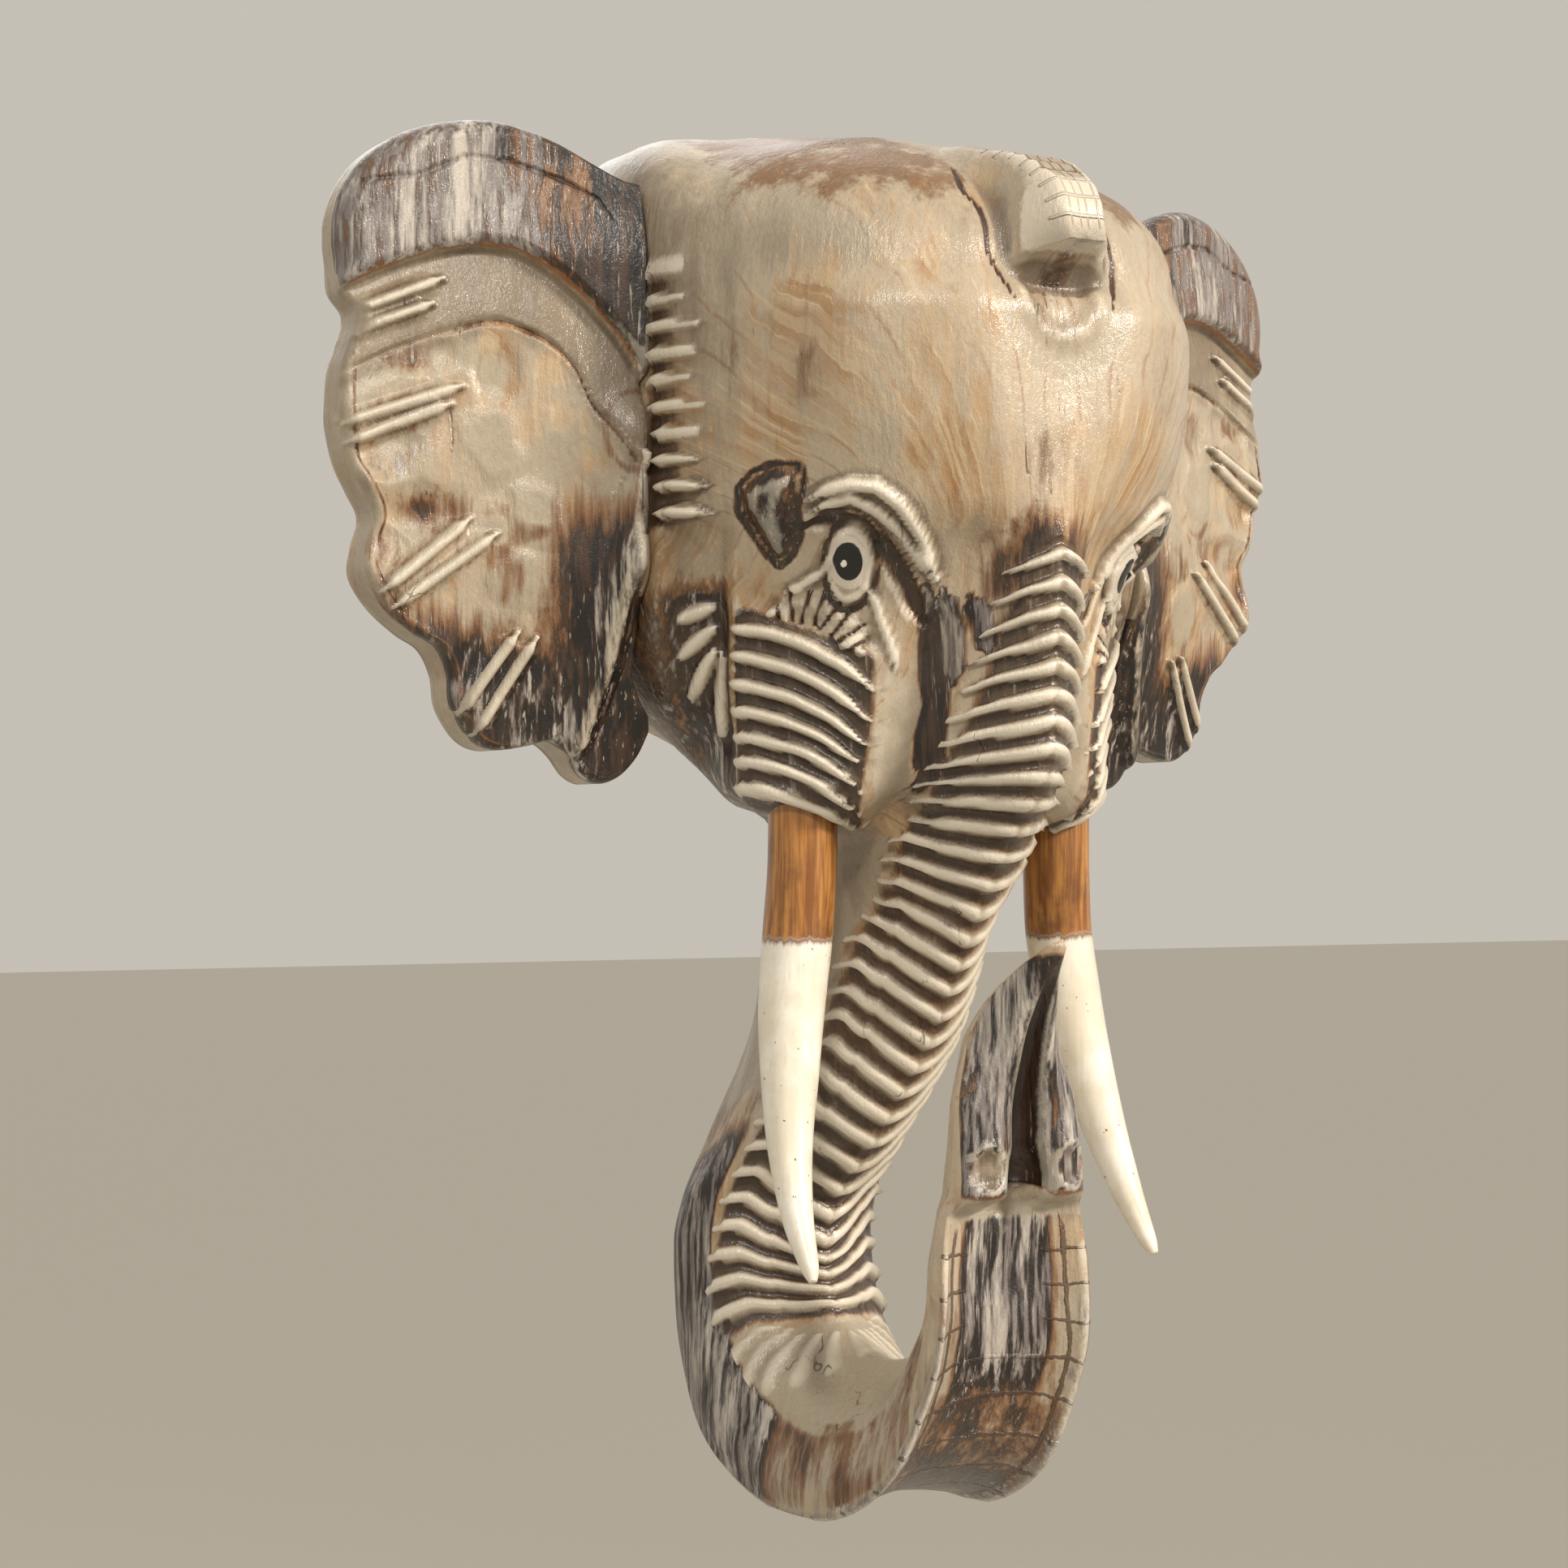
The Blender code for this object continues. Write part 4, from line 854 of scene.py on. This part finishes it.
# Kinds of node: type, fixed settings, the inputs that values go to in order, and the output handed back
NODES = {
    "object": ("TexCoord", {}, [], "Object"),
    "stretch": ("Mapping", {}, [0, 1, 3], 0),
    "height": ("SeparateXYZ", {}, [0], 2),
    "join": ("CombineXYZ", {}, [0, 1], 0),
    "mask": ("Attribute", {}, [], "Fac"),
    "noise": ("TexNoise", {}, ["Vector", "Scale", "Detail", "Roughness"], 0),
    "step": ("MapRange", {"interpolation_type": "SMOOTHSTEP"}, [0, 1, 2], 0),
    "paint": ("Mix", {"data_type": "RGBA"}, [6, 7, 0], 2),
    "bump": ("Bump", {}, ["Height", "Strength", "Distance"], 0),
    "shader": ("BsdfPrincipled", {}, [
        "Base Color", "Roughness", "Coat Weight", "Coat Roughness", "Normal", "Coat Normal",
    ], 0),
    "surface": ("OutputMaterial", {}, [0], None),
}
for operation in ("ADD", "SUBTRACT", "MULTIPLY", "DIVIDE", "MULTIPLY_ADD", "MAXIMUM", "ABSOLUTE", "FRACT"):
    NODES[operation.lower()] = ("Math", {"operation": operation}, [0, 1, 2], 0)


def add(tree, kind, *values, **settings):
    """Adds a node of a kind named above with its settings and links, and gives its output.

    A value is a socket, a number, a colour in hex, or a tuple that describes another node. Only a product
    may have more than two values.
    """
    name, fixed, inputs, output = NODES[kind]
    if kind == "multiply" and len(values) > 2:
        values = ((kind, *values[:-1]), values[-1])
    node = tree.nodes.new("ShaderNode" + name)
    for key, value in {**fixed, **settings}.items():
        setattr(node, key, value)
    for place_in, value in zip(inputs, values):
        if isinstance(value, tuple) and isinstance(value[0], str):
            value = add(tree, *value)
        if isinstance(value, bpy.types.NodeSocket):
            tree.links.new(value, node.inputs[place_in])
        elif value is not None:
            node.inputs[place_in].default_value = linear(value) if isinstance(value, str) else value
    return None if output is None else node.outputs[output]


def coats(tree, under, *layers):
    """Lays coats over what is under them: strength, share, then a colour, or two colours and their mix."""
    for strength, share, *shades in layers:
        if strength < 1:
            share = ("multiply", share, strength)
        under = add(tree, "paint", under, ("paint", *shades) if len(shades) > 1 else shades[0], share)
    return under


def finished(name, finish):
    """Material from a function that gives, for a node tree, what the shader's sockets take in order."""
    material = bpy.data.materials.new(name)
    material.use_nodes = True
    tree = material.node_tree
    tree.nodes.clear()
    add(tree, "surface", ("shader", *finish(tree)))
    return material


# Noise in the wood: lumps to the metre, its scale along z beside that across, detail and roughness.
# The finest is coarser than real grit, so that it shows
GRAINS = (
    (34, 0.7, 6, 0.65), (16, 0.8, 3, 0.55), (85, 0.15, 6, 0.72), (330, 0.07, 3, 0.6),
    (700, 0.09, 2, 0.6), (520, 0.6, 3, 0.7), (1500, 1, 2, 0.6), (45, 0.1, 3, 0.5),
)
# Spacing in millimetres of growth rings, ladder lines, the rails across them and courses of bricks
RING_STEP, LADDER_STEP, RAIL_STEP, COURSE_STEP = 23.0, 4.4, 6.5, 14.0


def burnt_wood(seed, tree):
    """Light tropical wood, carved, scorched, whitewashed, rubbed back and lacquered.

    The eye sees tan growth rings under a chalky film, near-black scorch broken by pale upright scratches,
    orange where an edge is rubbed through, cream gouges, painted shade in the hollows, on the flutes' upper
    sides and in part of the scorch, painted highlights on raised places and the flutes' lower lips, and
    lacquer over all.
    """
    put = partial(add, tree)
    spot = put("stretch", ("object",), (seed, 0.37 * seed, 0.0))
    mask = {key: put("mask", attribute_name=key) for key in HEAD_MASKS}
    mottle, patch, smear, streak, scratch, fleck, grit, wander = (
        put("noise", ("stretch", spot, None, (1, 1, tall)), scale, detail, rough)
        for scale, tall, detail, rough in GRAINS
    )
    pit = mask["pit"]

    def broken(key, texture, depth, low, high):
        """The mask's edge broken up by a texture, then made crisp."""
        rough = ("multiply_add", texture, depth, -0.5 * depth)
        return put("step", ("add", mask[key], rough), low, high)

    def lines(across, half, soft):
        """Thin lines where across passes the middle of each unit."""
        return put("step", ("absolute", ("subtract", ("fract", across), 0.5)), half, soft)

    # Growth rings and the flow of the grain, a chalky film left in it, and hairline cracks
    rings = put("multiply_add", patch, 34.0, ("multiply_add", mottle, 16.0, mask["grain"]))
    turn = put("fract", ("divide", rings, RING_STEP))
    ring_line = put(
        "multiply", ("step", turn, 0.80, 0.95), ("step", turn, 1.0, 0.975), ("step", patch, 0.44, 0.56),
    )
    flow = put("noise", ("join", rings, ("multiply", mask["path"], 0.11)), 0.2, 5.0, 0.62)
    film = ("step", ("add", patch, ("multiply_add", smear, 0.5, ("multiply", flow, 0.45))), 0.85, 1.04)
    film = ("maximum", ("multiply", film, 0.88), ("multiply", ("step", mottle, 0.38, 0.66), 0.6))
    film = ("multiply", film, ("multiply_add", ring_line, -0.5, 1.0))
    hair = ("step", ("absolute", ("subtract", wander, 0.5)), 0.009, 0.0)
    hair = put("multiply", hair, ("step", mottle, 0.58, 0.66), 0.75)

    # Whitewashed, rubbed, toasted, burnt, greyed and dirty places, and cream gouges, with painted shade and
    # highlight laid in from the burn and soil masks and from how far each place stands above its neighbours
    washed = broken("wash", smear, 1.1, 0.34, 0.66)
    half_mottle = put("multiply", mottle, 0.5)
    clouded = put("multiply_add", smear, 0.5, half_mottle)
    scorch = put("multiply_add", smear, 0.55, ("multiply", streak, 0.45))
    drips = put("multiply_add", smear, 0.5, ("multiply", streak, 0.5))
    burnt_and_shaded = broken("burn", scorch, 1.7, 0.46, 0.64)
    dry = ("multiply_add", ("step", streak, 0.38, 0.56), 0.6, 0.35)
    greyed = ("multiply", broken("grey", drips, 3.4, 0.5, 0.82), dry)
    # Painted light and shade on the cream gouges: lighter where they stand up, darker in their hollows
    gouge_light_and_shade = ("step", ("multiply_add", mottle, -1.2, pit), -0.1, -1.3)
    soiled_and_shaded = broken("soil", ("multiply_add", mottle, 0.5, ("multiply", smear, 0.5)), 2.2, 0.1, 0.9)
    # Painted highlight: a pale cream on places that stand above their neighbours, less where burnt
    raised_highlight = ("step", ("multiply_add", fleck, -0.7, pit), -0.6, -1.1)

    # Scored lines: a ladder on the crest and the pouch, and courses of bricks along the curl
    ladder = lines(("divide", mask["lines"], LADDER_STEP), 0.12, 0.04)
    rails = lines(("divide", mask["side"], RAIL_STEP), 0.09, 0.03)
    rails = ("multiply", rails, ("step", mask["side"], 24, 18))
    courses = lines(("multiply_add", mottle, 0.7, ("divide", mask["path"], COURSE_STEP)), 0.055, 0.03)
    joints = ("subtract", ("multiply_add", mottle, 0.25, mask["about"]), 0.92)
    joints = ("step", ("absolute", joints), 0.03, 0.015)
    ladder = ("multiply", ("maximum", ladder, rails), ("step", mask["scored"], 0.2, 0.5))
    bricks = ("multiply", ("maximum", courses, joints), ("step", mask["bricks"], 0.15, 0.45))
    scored = put("maximum", ladder, bricks)
    grazed = ("multiply", ("step", scratch, 0.63, 0.7), ("step", patch, 0.46, 0.6), burnt_and_shaded)
    white_of_eye = ("multiply", ("step", mask["pupil"], 0.02, 0.06), ("step", mask["pupil"], 0.45, 0.6))
    colour = coats(
        tree, ("paint", "#A9845A", "#BDA37E", ("step", turn, 0.0, 0.8)),
        (0.8, ("step", flow, 0.50, 0.68), "#8F5A28"),
        (0.7, ("step", flow, 0.47, 0.34), "#D2C2A6"),
        (0.4, ("step", smear, 0.54, 0.7), "#94602C"),
        (0.8, ("multiply", ring_line, ("step", mottle, 0.40, 0.56)), "#85531F"),
        (0.4, ("step", streak, 0.5, 0.75), "#7E5228"),
        (1, film, "#A39480", "#CBBFA9", fleck),
        (0.86, washed, "#8B7E6B", "#C4B9A4", ("multiply_add", fleck, 0.5, half_mottle)),
        (0.85, broken("rub", clouded, 2.8, 0.40, 0.74), "#593710", "#8F5F24", streak),
        # Toasted brown and near-black from the burn mask, which also carries painted shade
        (0.92, broken("burn", scorch, 1.5, 0.20, 0.52), "#54341A", "#8A5A2C", streak),
        (1, burnt_and_shaded, "#17110E", "#452F20", ("step", streak, 0.42, 0.66)),
        (1, greyed, "#7A7270", "#CBC3B8", ("step", smear, 0.45, 0.66)),
        (0.8, grazed, "#B9AE9F"),
        (0.75, broken("amber", mottle, 1.4, 0.5, 0.85), "#94561F"),
        # Cream gouges, with the painted highlight from the pale mask and painted light and shade by height
        (0.95, broken("pale", drips, 1.5, 0.28, 0.62), "#988973", "#DAD0BE", gouge_light_and_shade),
        # Dark brown-grey from the soil mask, which holds painted shade on the flutes' upper sides
        (0.68, soiled_and_shaded, "#4F3D2B", "#78644C", fleck),
        # Painted shade: dark brown laid in the hollows, deeper where a place lies further below its
        # neighbours
        (0.62, ("step", ("multiply_add", smear, 0.8, pit), 0.55, 1.35), "#3F2B1C"),
        (0.8, scored, "#4A3220"),
        (0.75, ("multiply", raised_highlight, ("multiply_add", burnt_and_shaded, -0.5, 1.0)), "#E2D9C8"),
        (1, hair, "#4A3220"),
        (1, white_of_eye, "#D5CBBB"),
        (1, ("step", mask["pupil"], 0.97, 1.03), "#0A0A0A"),
        (1, ("step", mask["glint"], 0.9, 1.1), "#F2EEE6"),
    )
    gloss = ("multiply_add", grit, 0.12, ("multiply_add", mottle, 0.35, 0.2))
    height = put("multiply", streak, 0.35)
    for texture, share in (
        (mottle, 0.9), (fleck, 0.35), (grit, 0.12), (hair, -0.9), (scored, -1.2), (burnt_and_shaded, -0.35),
        (washed, 0.25),
    ):
        height = put("multiply_add", texture, share, height)
    relief = put("bump", height, 0.75, 0.0011)
    return colour, gloss, 0.5, 0.13, relief, relief


def tusk_paint(tree):
    """Turned wood, stained amber at the root and brushed cream white below it, under gloss lacquer."""
    put = partial(add, tree)
    spot = put("object")
    streak = put("noise", ("stretch", spot, None, (1, 1, 0.05)), 420.0, 3.0, 0.6)
    cloud = put("noise", spot, 45.0, 4.0, 0.6)
    speck = put("noise", spot, 420.0, 1.0)
    level = put("multiply_add", cloud, 0.006, ("multiply_add", streak, 0.006, ("height", spot)))
    line = (CROWN - TUSK_SEAT - STAIN_DROP) * MM
    stain = put("step", level, line - 0.0008, line + 0.0010)
    rim = ("multiply", ("step", level, line - 0.003, line), ("subtract", 1.0, stain))
    white = coats(
        tree, ("paint", "#E3DAC6", "#F3EEE2", ("step", cloud, 0.35, 0.65)),
        (0.4, ("step", streak, 0.56, 0.76), "#D3BF98"),
        (1, ("step", speck, 0.74, 0.78), "#8A6B45"),
    )
    amber = coats(
        tree, ("paint", "#85501D", "#BE8440", ("step", streak, 0.36, 0.66)),
        (0.6, ("step", cloud, 0.5, 0.68), "#5E3512"),
    )
    colour = coats(tree, white, (1, stain, amber), (1, rim, "#6A3E16"))
    gloss = ("multiply_add", cloud, 0.2, 0.3)
    return colour, gloss, 0.6, 0.1, ("bump", ("multiply_add", streak, 0.5, cloud), 0.5, 0.0006)


def tusk_surface(hand):
    """Tusk as rings square to its axis, a little out of true as hand work is."""
    rings = tusk_skin(np.linspace(0, 1, 150) ** 0.9, 48, hand)
    middle = rings.mean(axis=1, keepdims=True)
    return middle + (rings - middle) * (1 + 0.03 * lumps(rings, 17, 7))[..., None] * 0.995


def main():
    rings, masks, ends = head_surface()
    wood = finished("scorched_whitewashed_wood_head", partial(burnt_wood, 0.0))
    head = closed_rings("carved_head_and_trunk", rings, masks, ends, wood, False)
    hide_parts("head_and_trunk")
    wood = finished("scorched_whitewashed_wood_ears", partial(burnt_wood, 1.3))
    paint = finished("lacquered_tusk_paint", tusk_paint)
    for tag, hand in (("left", -1), ("right", 1)):
        rings, masks = ear_surface(hand)
        ear = closed_rings("carved_ear_" + tag, rings, masks, rings[[0, -1]].mean(axis=1), wood, hand < 0)
        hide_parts("ear_" + tag)
        rings = tusk_surface(hand)
        tusk = closed_rings("turned_tusk_" + tag, rings, {}, rings[[0, -1]].mean(axis=1), paint, hand < 0)
        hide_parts("tusk_" + tag)


main()

# Floor, far below and behind, with soft daylight all round
FLOOR_HALF, FLOOR_LEVEL = 30.0, -1.45
corners = [(x * FLOOR_HALF, y * FLOOR_HALF, FLOOR_LEVEL) for x, y in ((-1, -1), (1, -1), (1, 1), (-1, 1))]
floor_mesh = bpy.data.meshes.new("floor")
floor_mesh.from_pydata(corners, [], [(0, 1, 2, 3)])
floor_mesh.materials.append(finished("pale_floor", lambda tree: ("#DFDACF", 0.9)))
floor = bpy.data.objects.new("floor", floor_mesh)
bpy.context.scene.collection.objects.link(floor)

world = bpy.data.worlds.new("studio")
world.use_nodes = True
world.node_tree.nodes["Background"].inputs[0].default_value = linear("#F4EDE1")
world.node_tree.nodes["Background"].inputs[1].default_value = 0.62
bpy.context.scene.world = world
bpy.context.scene.view_settings.view_transform = "Standard"


def soft_light(name, place, aim, size, power, colour):
    """Square soft box with a grid that keeps it off the floor, at a place and turned to face a point."""
    light = bpy.data.lights.new(name, "AREA")
    light.size = size
    light.energy = power
    light.spread = np.radians(60)
    light.color = linear(colour)[:3]
    obj = bpy.data.objects.new(name, light)
    obj.location = place
    obj.rotation_euler = (Vector(aim) - Vector(place)).to_track_quat("-Z", "Y").to_euler()
    bpy.context.scene.collection.objects.link(obj)


soft_light("key", (1.6, -2.8, 1.4), (0, -0.1, -0.1), 0.6, 12.9, "#FFF4E6")
soft_light("window", (-1.7, -2.5, 1.9), (0, -0.1, 0), 0.4, 4.5, "#FFF8EE")
soft_light("back_fill", (0.8, 3.2, 1.9), (0, 0, -0.1), 2.0, 2.8, "#FFFFFF")

camera_data = bpy.data.cameras.new("view")
camera_data.sensor_width = 36
camera_data.lens = 68.76
camera_data.shift_y = 0.0409
camera = bpy.data.objects.new("view", camera_data)
camera.location = (-0.6536, -1.1161, -0.150)
camera.rotation_euler = (np.pi / 2, 0, -np.pi / 6)
bpy.context.scene.collection.objects.link(camera)
bpy.context.scene.camera = camera
